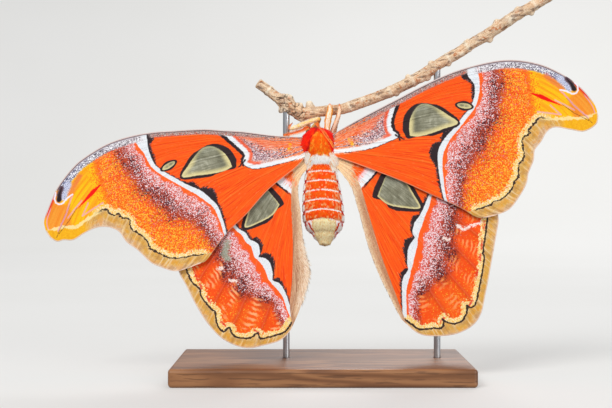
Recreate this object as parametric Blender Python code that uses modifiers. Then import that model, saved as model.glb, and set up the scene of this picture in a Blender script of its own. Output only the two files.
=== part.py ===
"""Atlas moth, life size, hanging with spread wings from a cut length of branch on a plain stand.

World axes: +X to the right when the moth's back is seen, +Y from its back to its belly, +Z up.
The origin is the middle of the underside of the stand's base. All sizes are in metres.
"""

import math

import bmesh
import bpy
import numpy as np
from mathutils import Vector, noise

# ------------------------------------------------------------------ driving dimensions

GAP = 0.0003                     # clearance that neighbouring pieces keep

# Stand
BASE_LENGTH = 0.130
BASE_DEPTH = 0.080
BASE_THICKNESS = 0.008
BASE_CORNER = 0.0015             # rounding of the base's edges
ROD_RADIUS = 0.0015
ROD_SOCKET = 0.005               # how deep a rod sits in the base
ROD_X = (-0.0160, 0.0520)        # behind the left wings and behind the right wings

# Branch: its axis runs at one depth behind the wings; (x, z, radius) from end to end
BRANCH_Y = 0.0045
BRANCH_AXIS = [
    (-0.0289, 0.1317, 0.0022), (-0.0250, 0.1290, 0.0023), (-0.0200, 0.1251, 0.0025),
    (-0.0170, 0.1231, 0.0030), (-0.0139, 0.1208, 0.0034), (-0.0109, 0.1186, 0.0032),
    (-0.0080, 0.1176, 0.0031), (-0.0047, 0.1181, 0.0027), (-0.0012, 0.1187, 0.0024),
    (0.0034, 0.1193, 0.0024), (0.0091, 0.1199, 0.0024), (0.0149, 0.1218, 0.0025),
    (0.0264, 0.1259, 0.0025), (0.0376, 0.1309, 0.0026), (0.0445, 0.1347, 0.0027),
    (0.0491, 0.1376, 0.0027), (0.0536, 0.1407, 0.0025), (0.0629, 0.1461, 0.0026),
    (0.0678, 0.1495, 0.0025), (0.0751, 0.1538, 0.0026), (0.0880, 0.1624, 0.0026),
    (0.0944, 0.1659, 0.0025), (0.1084, 0.1742, 0.0023),
]
BRANCH_SIDES = 3                 # bevel resolution, for 10 sides
BRANCH_STEPS = 2                 # rings between two points of the axis
BARK_ROUGHNESS = 0.00025         # depth of the bark's unevenness, three times that at the knot
KNOT_X = (-0.0195, -0.0085)
# Buds, scars, the knot's lumps and the stubs of twigs: (x, angle round the branch, radius, height
# over the bark); 0 degrees faces front, 90 up
BRANCH_BUDS = [
    (-0.0165, 90, 0.0022, 0.0012), (-0.0162, -95, 0.0012, 0.0018), (-0.0145, -70, 0.0020, 0.0006),
    (-0.0115, 85, 0.0018, 0.0010), (-0.0080, -85, 0.0018, 0.0008), (-0.0047, 88, 0.0019, 0.0030),
    (0.0187, 30, 0.0012, 0.0005), (0.0328, -75, 0.0012, 0.0007), (0.0400, 90, 0.0010, 0.0012),
    (0.0441, -60, 0.0014, 0.0005), (0.0464, -85, 0.0013, 0.0009), (0.0507, 90, 0.0011, 0.0010),
    (0.0560, -90, 0.0010, 0.0009), (0.0622, -30, 0.0012, 0.0004), (0.0666, 90, 0.0010, 0.0006),
    (0.0745, -90, 0.0013, 0.0014), (0.0801, 90, 0.0014, 0.0012), (0.0860, 0, 0.0014, 0.0004),
    (0.0892, 90, 0.0010, 0.0007), (0.0935, -90, 0.0011, 0.0012), (0.0250, 160, 0.0012, 0.0008),
    (0.0700, 175, 0.0012, 0.0008),
]

# Body: sections are (height, half width, half depth, middle in x, middle in y)
THORAX_BOTTOM = 0.0953
THORAX_SECTIONS = [
    (0.0000, 0.0064, 0.0055, -0.0007, -0.0026), (0.0022, 0.0072, 0.0063, -0.0008, -0.0026),
    (0.0044, 0.0073, 0.0066, -0.0012, -0.0027), (0.0066, 0.0075, 0.0069, -0.0017, -0.0028),
    (0.0090, 0.0077, 0.0069, -0.0020, -0.0029), (0.0114, 0.0070, 0.0064, -0.0016, -0.0032),
    (0.0134, 0.0061, 0.0052, -0.0013, -0.0038), (0.0149, 0.0041, 0.0036, -0.0015, -0.0044),
    (0.0158, 0.0021, 0.0018, -0.0022, -0.0048), (0.0161, 0.0006, 0.0006, -0.0028, -0.0048),
]
ABDOMEN_PROFILE = [              # (distance down, half width, half depth)
    (0.0000, 0.0063, 0.0054), (0.0033, 0.0068, 0.0060), (0.0077, 0.0077, 0.0068),
    (0.0122, 0.0085, 0.0075), (0.0166, 0.0090, 0.0079), (0.0211, 0.0093, 0.0081),
    (0.0255, 0.0093, 0.0079), (0.0290, 0.0080, 0.0068), (0.0322, 0.0054, 0.0048),
    (0.0345, 0.0034, 0.0034), (0.0360, 0.0027, 0.0027), (0.0366, 0.0008, 0.0008),
]
ABDOMEN_MIDDLE = ((-0.0006, -0.0026), (0.0014, -0.0010))     # x and y at its top and at its tip
ABDOMEN_CREASES = (0.0038, 0.0082, 0.0127, 0.0171, 0.0218, 0.0264, 0.0312)   # between its rings
ABDOMEN_TIP = (0.0325, 0.0345, 0.0360, 0.0366)   # stations past the last crease
CREASE_DEPTH = 0.00045
RING_TILT = (0.0007, 0.0022)     # how much higher a ring is at the back, near the top and the tail
HEAD_MIDDLE = (-0.0024, 0.0014, 0.1084)
HEAD_SIZE = (0.0037, 0.0033, 0.0033)
EYE_RADIUS = 0.0015
BODY_SIDES = 24

# Wings
WING_ROOT_X = -0.0010
WING_ROOT_Z = 0.1010
WING_PLANE_Y = -0.0050
WING_LAYER_Y = {"fore": -0.0009, "hind": 0.0009}    # before and behind that plane
WING_THICKNESS = 0.0006
WING_SPAN = 0.115
TIP_DROOP = 0.0050               # the wing tips bend back by this much
WING_TILT = {"right": 0.05, "left": 0.09}
FLUTE = 0.0003                   # the membrane bulges by this much between two veins

# Each wing's outline in a frame of its own, as if all were right wings, from the wing's root: out
# along the front edge to the tip, in along the outer margin to the rear corner, and along the
# inner margin
FOREWING = {
    "right": {
        "front": [(0.0099, 0.0143), (0.0261, 0.0229), (0.0404, 0.0304), (0.0547, 0.0362),
                  (0.0728, 0.0401), (0.0880, 0.0385), (0.1001, 0.0331), (0.1074, 0.0276),
                  (0.1129, 0.0208), (0.1149, 0.0153)],
        "outer": [(0.1138, 0.0113), (0.1084, 0.0082), (0.1021, 0.0090), (0.0954, 0.0100),
                  (0.0918, 0.0080), (0.0891, 0.0035), (0.0864, -0.0001), (0.0858, -0.0047),
                  (0.0836, -0.0102), (0.0827, -0.0147), (0.0799, -0.0201), (0.0754, -0.0260),
                  (0.0700, -0.0287), (0.0637, -0.0302)],
        "inner": [(0.0100, -0.0068), (0.0275, -0.0137), (0.0402, -0.0196), (0.0529, -0.0254),
                  (0.0600, -0.0296)]},
    "left": {
        "front": [(0.0075, 0.0110), (0.0148, 0.0162), (0.0205, 0.0203), (0.0271, 0.0243),
                  (0.0337, 0.0284), (0.0406, 0.0316), (0.0477, 0.0346), (0.0550, 0.0376),
                  (0.0647, 0.0403), (0.0751, 0.0414), (0.0867, 0.0400), (0.0933, 0.0378),
                  (0.1006, 0.0339), (0.1047, 0.0309), (0.1097, 0.0262), (0.1139, 0.0214),
                  (0.1151, 0.0171)],
        "outer": [(0.1146, 0.0132), (0.1127, 0.0101), (0.1100, 0.0094), (0.1062, 0.0074),
                  (0.1005, 0.0079), (0.0950, 0.0077), (0.0904, 0.0055), (0.0873, 0.0015),
                  (0.0863, -0.0047), (0.0838, -0.0102), (0.0813, -0.0181), (0.0787, -0.0221),
                  (0.0740, -0.0272), (0.0686, -0.0288), (0.0628, -0.0293)],
        "inner": [(0.0081, -0.0072), (0.0220, -0.0112), (0.0358, -0.0178), (0.0478, -0.0224),
                  (0.0592, -0.0291)]},
}
HINDWING = {
    "right": {
        "front": [(0.0120, 0.0022), (0.0289, -0.0013), (0.0448, -0.0075), (0.0577, -0.0151),
                  (0.0676, -0.0220)],
        "outer": [(0.0682, -0.0262), (0.0674, -0.0314), (0.0658, -0.0402), (0.0642, -0.0490),
                  (0.0623, -0.0586), (0.0602, -0.0672), (0.0562, -0.0727), (0.0486, -0.0762),
                  (0.0392, -0.0770), (0.0320, -0.0755), (0.0250, -0.0694)],
        "inner": [(0.0027, -0.0105), (0.0064, -0.0216), (0.0107, -0.0375), (0.0155, -0.0500),
                  (0.0209, -0.0611)]},
    "left": {
        "front": [(0.0120, 0.0022), (0.0289, -0.0013), (0.0448, -0.0085), (0.0577, -0.0181),
                  (0.0670, -0.0276)],
        "outer": [(0.0671, -0.0344), (0.0658, -0.0408), (0.0642, -0.0511), (0.0618, -0.0610),
                  (0.0578, -0.0696), (0.0504, -0.0758), (0.0411, -0.0769), (0.0340, -0.0764),
                  (0.0281, -0.0729), (0.0244, -0.0672)],
        "inner": [(0.0026, -0.0084), (0.0063, -0.0239), (0.0090, -0.0345), (0.0100, -0.0400),
                  (0.0103, -0.0450), (0.0116, -0.0510), (0.0147, -0.0567), (0.0192, -0.0622)]},
}
# How each wing is held: its root in x and z, the heights of its root edge, its turn about the root,
# and how its roll, taper and bend along its long axis change the outline as seen from the back
WING_AXIS = {"fore": 16.2, "hind": -50.0}
WING_POSE = {
    ("fore", "right"): {"root": (0.0072, 0.1009), "edge": (0.1076, 0.0988), "turn": 0.0,
                        "span": 1.0169, "chord": 1.0017, "taper": 0.0, "bend": 0.0},
    ("fore", "left"): {"root": (-0.0077, 0.1018), "edge": (0.1067, 0.0988), "turn": -26.2,
                       "span": 1.0394, "chord": 0.8777, "taper": 0.0854, "bend": -0.0009},
    ("hind", "right"): {"root": (0.0099, 0.0962), "edge": (0.0985, 0.0957), "turn": 0.0,
                        "span": 1.0072, "chord": 1.0120, "taper": 0.0, "bend": 0.0},
    ("hind", "left"): {"root": (-0.0105, 0.0948), "edge": (0.0985, 0.0957), "turn": -18.8,
                       "span": 0.9277, "chord": 0.8209, "taper": 0.2953, "bend": 0.0052},
}
# Where the main veins meet the outer margin, as fractions of it from the tip to the rear corner
VEINS = {"fore": (0.055, 0.135, 0.215, 0.32, 0.47, 0.63, 0.79, 0.93),
         "hind": (0.06, 0.20, 0.36, 0.52, 0.68, 0.84)}
VEIN_WIDTH = 0.0009
VEIN_HEIGHT = 0.00035
VEIN_FADE = 0.6                  # how much lower a vein is at the margin
FRONT_VEIN = 0.0007              # the thick vein lies this far behind the front edge
WIDE_CELL = 0.1                  # the membrane between veins further apart than this bulges
WING_STATIONS = {"fore": 18, "hind": 16}

# Antennae: routes of the shafts from inside the head to the tips
ANTENNA_RADIUS = (0.00040, 0.00027)
ANTENNA_ROUTE = {
    "left": [(-0.0042, 0.0008, 0.1106), (-0.0061, -0.0006, 0.1113), (-0.0083, -0.0048, 0.1100),
             (-0.0115, -0.0070, 0.1088), (-0.0149, -0.0082, 0.1079), (-0.0171, -0.0086, 0.1074)],
    "right": [(-0.0018, 0.0000, 0.1110), (-0.0021, -0.0030, 0.1123), (-0.0022, -0.0070, 0.1120),
              (-0.0002, -0.0097, 0.1099), (0.0020, -0.0101, 0.1068), (0.0038, -0.0094, 0.1043),
              (0.0050, -0.0084, 0.1023)],
}
RAMUS_PAIRS = 12
RAMUS_LENGTH = 0.0022
RAMUS_RADIUS = (0.00028, 0.00012)
RAMUS_SPREAD = {"left": 38, "right": 24}      # degrees each ramus leans from straight forward
RAMUS_SWEEP = 25                 # degrees it leans to the tip
RAMUS_REACH = (0.22, 0.97)       # the rami grow between these parts of the shaft

# ------------------------------------------------------------------ curves and meshes


def smooth_path(points, steps):
    """Points along a Catmull-Rom curve through the given points."""
    points = [np.array(point, float) for point in points]
    points = [2 * points[0] - points[1], *points, 2 * points[-1] - points[-2]]
    path = []
    for a, b, c, d in zip(points, points[1:], points[2:], points[3:]):
        for t in np.arange(steps) / steps:
            path.append(0.5 * (2 * b + (c - a) * t + (2 * a - 5 * b + 4 * c - d) * t ** 2
                               + (3 * b - a - 3 * c + d) * t ** 3))
    path.append(points[-2])
    return np.array(path)


def along(path, fractions):
    """Points at the given fractions of a path's length."""
    steps = np.linalg.norm(np.diff(path, axis=0), axis=1)
    lengths = np.concatenate([[0], np.cumsum(steps)])
    lengths /= lengths[-1]
    return np.stack([np.interp(fractions, lengths, column) for column in path.T], axis=-1)


def link(name, mesh, collection, material=None):
    """A new object for a mesh, shaded smooth, in a collection."""
    thing = bpy.data.objects.new(name, mesh)
    collection.objects.link(thing)
    if material:
        mesh.materials.clear()
        mesh.materials.append(material)
    mesh.shade_smooth()
    return thing


def closed_mesh(name, vertices, faces):
    """A mesh with its faces turned outwards."""
    mesh = bpy.data.meshes.new(name)
    mesh.from_pydata([tuple(vertex) for vertex in vertices], [], faces)
    shape = bmesh.new()
    shape.from_mesh(mesh)
    bmesh.ops.recalc_face_normals(shape, faces=shape.faces)
    shape.to_mesh(mesh)
    shape.free()
    return mesh


def loft(name, rings):
    """A closed mesh through rings of equal count, with a flat cap at each end."""
    count = len(rings[0])
    vertices = [point for ring in rings for point in ring]
    faces = [list(range(count)), list(range(len(vertices) - count, len(vertices)))]
    for row in range(len(rings) - 1):
        for i in range(count):
            j = (i + 1) % count
            a, b = row * count, (row + 1) * count
            faces.append((a + i, a + j, b + j, b + i))
    return closed_mesh(name, vertices, faces)


def settled(thing):
    """Applies an object's modifiers, or turns a curve object into a mesh object."""
    bpy.context.view_layer.update()
    evaluated = thing.evaluated_get(bpy.context.evaluated_depsgraph_get())
    mesh = bpy.data.meshes.new_from_object(evaluated)
    if thing.type == "MESH":
        thing.modifiers.clear()
        thing.data = mesh
        return thing
    shape = bmesh.new()
    shape.from_mesh(mesh)
    bmesh.ops.remove_doubles(shape, verts=shape.verts, dist=0.000005)
    bmesh.ops.recalc_face_normals(shape, faces=shape.faces)
    shape.to_mesh(mesh)
    shape.free()
    solid = link(thing.name, mesh, thing.users_collection[0])
    solid.matrix_world = thing.matrix_world
    name = thing.name
    bpy.data.objects.remove(thing)
    solid.name = name
    return solid


def tube(name, points, radii, collection, resolution=2):
    """A round solid along a path of points with a radius at each."""
    curve = bpy.data.curves.new(name, "CURVE")
    curve.dimensions = "3D"
    curve.bevel_depth = 1.0
    curve.bevel_resolution = resolution
    curve.use_fill_caps = True
    spline = curve.splines.new("POLY")
    spline.points.add(len(points) - 1)
    for spot, point, radius in zip(spline.points, points, radii):
        spot.co = (*point, 1.0)
        spot.radius = radius
    thing = bpy.data.objects.new(name, curve)
    collection.objects.link(thing)
    return settled(thing)


def cut(target, cutter):
    """Takes one closed solid from another."""
    modifier = target.modifiers.new("cut", "BOOLEAN")
    modifier.operation = "DIFFERENCE"
    modifier.solver = "EXACT"
    modifier.object = cutter
    settled(target)
    keep_largest(target)


def keep_largest(thing):
    """Drops all but the largest closed surface of a mesh."""
    shape = bmesh.new()
    shape.from_mesh(thing.data)
    left = set(shape.verts)
    islands = []
    while left:
        island = set()
        edge_of_island = [left.pop()]
        while edge_of_island:
            vertex = edge_of_island.pop()
            island.add(vertex)
            for edge in vertex.link_edges:
                other = edge.other_vert(vertex)
                if other in left:
                    left.remove(other)
                    edge_of_island.append(other)
        islands.append(island)
    largest = max(islands, key=len)
    spare = [vertex for island in islands if island is not largest for vertex in island]
    bmesh.ops.delete(shape, geom=spare, context="VERTS")
    shape.to_mesh(thing.data)
    shape.free()
    thing.data.shade_smooth()


# ------------------------------------------------------------------ body


def thorax_side(side, y, z):
    """The x at which the thorax's side passes a given depth and height, with the gap."""
    height, *columns = np.array(THORAX_SECTIONS).T
    width, depth, x, middle = (np.interp(z - THORAX_BOTTOM, height, column) for column in columns)
    reach = width * math.sqrt(max(0.0, 1 - ((y - middle) / depth) ** 2)) + GAP
    return x + (reach if side == "right" else -reach)


def ring(x, y, z, width, depth, sides=BODY_SIDES):
    """A level ellipse of points."""
    turns = 2 * math.pi * np.arange(sides) / sides
    return [(x + width * math.cos(turn), y + depth * math.sin(turn), z) for turn in turns]


def make_thorax(collection, material, name="thorax", grow=0.0):
    """The thorax, or a copy grown by a clearance to cut its neighbours with."""
    rings = []
    for k, (height, width, depth, x, y) in enumerate(THORAX_SECTIONS):
        lift = grow * (-1 if k == 0 else height / THORAX_SECTIONS[-1][0])
        rings.append(ring(x, y, THORAX_BOTTOM + height + lift, width + grow, depth + grow))
    return link(name, loft(name, rings), collection, material)


def make_abdomen(collection, material):
    """The abdomen, hanging under the thorax, with a crease between two of its rings."""
    down, widths, depths = np.array(ABDOMEN_PROFILE).T
    length = down[-1]
    bounds = [0.0, *ABDOMEN_CREASES]
    stations = [(0.0, 0.0)]
    for above, below in zip(bounds, bounds[1:]):
        stations += [(above + (below - above) * part, 0.0) for part in (0.15, 0.5, 0.85)]
        stations.append((below, CREASE_DEPTH))
    stations += [(spot, 0.0) for spot in ABDOMEN_TIP]
    rings = []
    for spot, crease in stations:
        x, y = (np.interp(spot, (0, length), ends) for ends in zip(*ABDOMEN_MIDDLE))
        width = np.interp(spot, down, widths) - crease
        depth = np.interp(spot, down, depths) - crease
        tilt = np.interp(spot, (0, ABDOMEN_CREASES[0], ABDOMEN_CREASES[-2], length),
                         (0, *RING_TILT, RING_TILT[0] / 2))
        level = THORAX_BOTTOM - GAP - spot
        rings.append([(a, b, c - tilt * (b - y) / depth) for a, b, c in ring(x, y, level, width, depth)])
    return link("abdomen", loft("abdomen", rings), collection, material)


def ellipsoid(name, middle, size, collection, material=None, segments=20, rings=12):
    """A UV sphere scaled to an ellipsoid, its poles up and down."""
    mesh = bpy.data.meshes.new(name)
    shape = bmesh.new()
    bmesh.ops.create_uvsphere(shape, u_segments=segments, v_segments=rings, radius=1.0)
    bmesh.ops.scale(shape, vec=size, verts=shape.verts)
    bmesh.ops.translate(shape, vec=middle, verts=shape.verts)
    shape.to_mesh(mesh)
    shape.free()
    return link(name, mesh, collection, material)


def make_head(collection, cutters, material):
    """The head, tucked in under the front of the thorax."""
    head = ellipsoid("head", HEAD_MIDDLE, HEAD_SIZE, collection, material)
    cut(head, cutters["thorax"])
    return head


def make_eyes(collection, cutters, material):
    """A domed eye on each side of the head."""
    for side, sign in (("left", -1), ("right", 1)):
        x, y, z = HEAD_MIDDLE
        middle = (x + sign * HEAD_SIZE[0] * 0.92, y + 0.0013, z + 0.0006)
        size = (EYE_RADIUS * 0.9, EYE_RADIUS, EYE_RADIUS)
        eye = ellipsoid(f"eye_{side}", middle, size, collection, material, 14, 10)
        cut(eye, cutters["head"])
        cut(eye, cutters["thorax"])


# ------------------------------------------------------------------ wings


def placed(points, kind, side):
    """Points of a wing's own frame, set at its root in world x and z."""
    pose = WING_POSE[kind, side]
    points = np.array(points, float)
    axis = math.radians(WING_AXIS[kind])
    long = np.array([math.cos(axis), math.sin(axis)])
    across = np.array([-long[1], long[0]])
    out = points @ long / WING_SPAN
    chord = points @ across * (pose["chord"] + pose["taper"] * out) + pose["bend"] * out ** 2
    points = np.outer(points @ long * pose["span"], long) + np.outer(chord, across)
    turn = math.radians(pose["turn"])
    spin = np.array([[math.cos(turn), -math.sin(turn)], [math.sin(turn), math.cos(turn)]])
    points = points @ spin.T
    if side == "left":
        points[:, 0] *= -1
    return points + np.array(pose["root"])


def sheet_y(side, x, z):
    """Depth of the curved plane in which a side's wings lie."""
    out = (x - WING_ROOT_X) / WING_SPAN
    return WING_PLANE_Y + TIP_DROOP * out ** 2 + WING_TILT[side] * (z - WING_ROOT_Z)


def wing_edges(kind, side):
    """The four edges of a wing as dense paths: root, front, outer and inner."""
    plan = (FOREWING if kind == "fore" else HINDWING)[side]
    front_z, rear_z = WING_POSE[kind, side]["edge"]
    heights = np.linspace(front_z, rear_z, 12)
    depths = sheet_y(side, WING_ROOT_X, heights) + WING_LAYER_Y[kind] + WING_THICKNESS
    root = np.array([(thorax_side(side, y, z), z) for y, z in zip(depths, heights)])
    front = placed(plan["front"], kind, side)
    outer = placed(plan["outer"], kind, side)
    inner = placed(plan["inner"], kind, side)
    front_edge = smooth_path([root[0], *front], 12)
    outer_edge = smooth_path([front[-1], *outer], 12)
    inner_edge = smooth_path([root[-1], *inner, outer[-1]], 12)
    return root, front_edge, outer_edge, inner_edge


def wing_grid(edges, u, v):
    """World x and z of a wing at u (root to margin) and v (front to rear), a Coons patch.

    v has a row for each u.
    """
    root, front, outer, inner = edges
    u_row, v_row = u[:, None, None], v[:, :, None]
    front_line = along(front, u)[:, None, :]
    inner_line = along(inner, u)[:, None, :]
    corners = ((1 - u_row) * ((1 - v_row) * root[0] + v_row * root[-1])
               + u_row * ((1 - v_row) * outer[0] + v_row * outer[-1]))
    return ((1 - v_row) * front_line + v_row * inner_line
            + (1 - u_row) * along(root, v) + u_row * along(outer, v) - corners)


def vein_lines(kind, across):
    """The wing's lines from root to margin: v at each station, whether on a vein, and bulge.

    across is the wing's width at each station. Each vein is a raised line between two level ones.
    """
    veins = VEINS[kind]
    level = np.ones_like(across)
    lines = [(0 * level, 0, 0)]
    lines.append((np.minimum(FRONT_VEIN / across, veins[0] / 4), 1, 0))
    lines.append((np.minimum(2 * FRONT_VEIN / across, veins[0] / 2), 0, 0))
    stops = [0.0, *veins, 1.0]
    for before, vein, after in zip(stops, veins, stops[2:]):
        half = np.minimum(VEIN_WIDTH / 2 / across, 0.3 * min(vein - before, after - vein))
        lines += [(vein - half, 0, 0), (vein * level, 1, 0), (vein + half, 0, 0)]
        if after < 1 and after - vein > WIDE_CELL:
            lines.append(((vein + after) / 2 * level, 0, 1))
    lines.append((level, 0, 0))
    rows, raised, bulge = zip(*lines)
    return np.stack(rows, axis=1), np.array(raised), np.array(bulge)


def make_wing(kind, side, collection, material):
    """A wing as a thin curved sheet with raised veins, its two faces split into triangles alike."""
    edges = wing_edges(kind, side)
    u = 1 - (1 - np.linspace(0, 1, WING_STATIONS[kind])) ** 1.25
    even = np.tile(np.linspace(0, 1, 9), (len(u), 1))
    across = np.linalg.norm(np.diff(wing_grid(edges, u, even), axis=1), axis=2).sum(axis=1)
    v, raised, bulge = vein_lines(kind, across)
    grid = wing_grid(edges, u, v)
    forward = WING_LAYER_Y[kind] / abs(WING_LAYER_Y[kind])
    middle = sheet_y(side, grid[..., 0], grid[..., 1]) + WING_LAYER_Y[kind]
    middle += forward * FLUTE * bulge * u[:, None]
    half = WING_THICKNESS / 2 + VEIN_HEIGHT * raised * (1 - VEIN_FADE * u[:, None])
    vertices = [(x, y, z) for face in (middle - half, middle + half)
                for (x, z), y in zip(grid.reshape(-1, 2), face.ravel())]
    rows, columns = v.shape
    behind = rows * columns
    faces = []
    for row in range(rows - 1):
        for column in range(columns - 1):
            a = row * columns + column
            b, c, d = a + 1, a + columns + 1, a + columns
            faces += [(a, b, c), (a, c, d)]
            faces += [(behind + c, behind + b, behind + a), (behind + d, behind + c, behind + a)]
    rim = list(range(columns))
    rim += [row * columns + columns - 1 for row in range(1, rows)]
    rim += [(rows - 1) * columns + column for column in range(columns - 2, -1, -1)]
    rim += [row * columns for row in range(rows - 2, 0, -1)]
    for a, b in zip(rim, rim[1:] + rim[:1]):
        faces += [(a, b, behind + b), (a, behind + b, behind + a)]
    name = f"{kind}wing_{side}"
    return link(name, closed_mesh(name, vertices, faces), collection, material)


# ------------------------------------------------------------------ antennae and legs


def fuse(target, pieces):
    """Joins closed pieces to a target solid and removes them."""
    group = bpy.data.collections.new(target.name + "_pieces")
    bpy.context.scene.collection.children.link(group)
    for piece in pieces:
        for home in list(piece.users_collection):
            home.objects.unlink(piece)
        group.objects.link(piece)
    modifier = target.modifiers.new("join", "BOOLEAN")
    modifier.operation = "UNION"
    modifier.solver = "EXACT"
    modifier.operand_type = "COLLECTION"
    modifier.collection = group
    settled(target)
    for piece in pieces:
        bpy.data.objects.remove(piece)
    bpy.data.collections.remove(group)
    keep_largest(target)


def spike(name, foot, tip, radii, collection, sides=5):
    """A tapered rod between two points."""
    foot, tip = Vector(foot), Vector(tip)
    turn = (tip - foot).to_track_quat("Z", "Y").to_matrix()
    rings = []
    for spot, radius in ((foot, radii[0]), (tip, radii[1])):
        rings.append([spot + turn @ Vector(point) for point in ring(0, 0, 0, radius, radius, sides)])
    return link(name, loft(name, rings), collection)


def make_rami(side, path, collection):
    """The two rows of rami along an antenna, longest at its middle, all leaning to its tip."""
    rami = []
    lean = math.radians(RAMUS_SPREAD[side])
    sweep = math.radians(RAMUS_SWEEP)
    parts = np.linspace(*RAMUS_REACH, RAMUS_PAIRS)
    for k, (spot, onwards) in enumerate(zip(along(path, parts), along(path, parts + 0.02))):
        length = RAMUS_LENGTH * (0.45 + 0.55 * math.sin(math.pi * (k + 0.8) / (RAMUS_PAIRS + 0.6)))
        heading = Vector(onwards - spot).normalized()
        forward = Vector((0, -1, 0))
        forward = (forward - forward.dot(heading) * heading).normalized()
        across = heading.cross(forward)
        for sign in (-1, 1):
            out = forward * math.cos(lean) + across * (sign * math.sin(lean))
            tip = Vector(spot) + length * (out * math.cos(sweep) + heading * math.sin(sweep))
            rami.append(spike("ramus", spot, tip, RAMUS_RADIUS, collection))
    return rami


def make_antennae(collection, cutters, material):
    """Two short feathery feelers from the top of the head."""
    for side, route in ANTENNA_ROUTE.items():
        path = smooth_path(route, 3)
        radii = np.linspace(*ANTENNA_RADIUS, len(path))
        antenna = tube(f"antenna_{side}", path, radii, collection)
        fuse(antenna, make_rami(side, path, collection))
        cut(antenna, cutters["head"])
        antenna.data.materials.clear()
        antenna.data.materials.append(material)


def branch_at(x):
    """Height and radius of the branch's axis at an x."""
    table = np.array(BRANCH_AXIS)
    return np.interp(x, table[:, 0], table[:, 1]), np.interp(x, table[:, 0], table[:, 2])


def grip(x, angles, radii):
    """Points on an arc round the branch, clear of it by the leg's radius at each.

    0 degrees is the branch's front, 90 its top, 180 its back.
    """
    z, bark = branch_at(x)
    arc = []
    for angle, radius in zip(angles, radii):
        turn = math.radians(angle)
        reach = bark + BARK_ROUGHNESS + radius + GAP
        arc.append((x, BRANCH_Y - reach * math.cos(turn), z + reach * math.sin(turn)))
    return arc


LEGS = {
    # points from inside the thorax outwards, radii along the leg, and for a leg that holds the
    # branch the x and the angles of its grip
    "leg_middle_right": {
        "route": [(0.0036, -0.0010, 0.1050), (0.0046, 0.0002, 0.1092), (0.0061, -0.0004, 0.1130),
                  (0.0073, -0.0008, 0.1160)],
        "grip": (0.0079, (-12, 6, 24, 42)), "radii": (0.0009, 0.0010, 0.0009, 0.0008, 0.0006, 0.0003)},
    "leg_front_right": {
        "route": [(0.0014, -0.0034, 0.1060), (0.0022, -0.0028, 0.1095), (0.0025, -0.0024, 0.1130),
                  (0.0030, -0.0020, 0.1158)],
        "grip": (0.0036, (-8, 12, 35, 60)), "radii": (0.0012, 0.0014, 0.0015, 0.0013, 0.0009, 0.0003)},
    "leg_front_left": {
        "route": [(-0.0050, 0.0000, 0.1030), (-0.0066, 0.0052, 0.1058), (-0.0052, 0.0070, 0.1100),
                  (-0.0022, 0.0026, 0.1136), (-0.0014, -0.0016, 0.1150), (-0.0040, -0.0028, 0.1143),
                  (-0.0080, -0.0030, 0.1128), (-0.0118, -0.0030, 0.1112),
                  (-0.0141, -0.0028, 0.1107), (-0.0143, -0.0026, 0.1119), (-0.0134, -0.0024, 0.1130)],
        "radii": (0.0009, 0.0009, 0.0010, 0.0012, 0.0012, 0.0008, 0.0003)},
    "leg_middle_left": {
        "route": [(-0.0044, 0.0000, 0.1006), (-0.0058, 0.0070, 0.1032), (-0.0060, 0.0106, 0.1085),
                  (-0.0060, 0.0114, 0.1138)],
        "grip": (-0.0062, (195, 175, 155, 135)), "radii": (0.0011, 0.0012, 0.0010, 0.0008, 0.0006, 0.0003)},
    "leg_hind_right": {
        "route": [(0.0010, 0.0000, 0.0995), (0.0036, 0.0080, 0.1010), (0.0054, 0.0112, 0.1085),
                  (0.0066, 0.0114, 0.1138)],
        "grip": (0.0076, (200, 180, 160, 140)), "radii": (0.0011, 0.0012, 0.0010, 0.0008, 0.0006, 0.0003)},
    "leg_hind_left": {
        "route": [(-0.0022, 0.0000, 0.0990), (-0.0016, 0.0084, 0.1000), (-0.0022, 0.0118, 0.1060),
                  (-0.0018, 0.0118, 0.1130)],
        "grip": (-0.0016, (200, 180, 160, 140)), "radii": (0.0011, 0.0012, 0.0010, 0.0008, 0.0006, 0.0003)},
}


def make_legs(collection, cutters, material):
    """Six legs; five reach the branch and grip it, and the front left one is held out."""
    for name, leg in LEGS.items():
        points = list(leg["route"])
        stops = np.linspace(0, 1, len(leg["radii"]))
        if "grip" in leg:
            x, angles = leg["grip"]
            last = len(points) + len(angles) - 1
            parts = np.arange(len(points), last + 1) / last
            points += grip(x, angles, np.interp(parts, stops, leg["radii"]))
        path = smooth_path(points, 2)
        radii = np.interp(np.linspace(0, 1, len(path)), stops, leg["radii"])
        limb = tube(name, path, radii, collection)
        cut(limb, cutters["thorax"])
        limb.data.materials.clear()
        limb.data.materials.append(material)


# ------------------------------------------------------------------ branch and stand


def upright(name, x, y, bottom, top, radius, collection, sides=20):
    """A vertical cylinder between two heights."""
    mesh = bpy.data.meshes.new(name)
    shape = bmesh.new()
    bmesh.ops.create_cone(shape, cap_ends=True, segments=sides, radius1=radius, radius2=radius,
                          depth=top - bottom)
    bmesh.ops.translate(shape, vec=(x, y, (top + bottom) / 2), verts=shape.verts)
    shape.to_mesh(mesh)
    shape.free()
    thing = link(name, mesh, collection)
    mesh.set_sharp_from_angle(angle=math.radians(40))
    return thing


def branch_spot(x, angle, reach):
    """A point beside the branch at an angle round it and a distance from its axis."""
    z, _ = branch_at(x)
    slope = (branch_at(x + 0.001)[0] - branch_at(x - 0.001)[0]) / 0.002
    up = Vector((-slope, 0, 1)).normalized()
    turn = math.radians(angle)
    way = up * math.sin(turn) - Vector((0, 1, 0)) * math.cos(turn)
    return Vector((x, BRANCH_Y, z)) + way * reach


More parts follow.
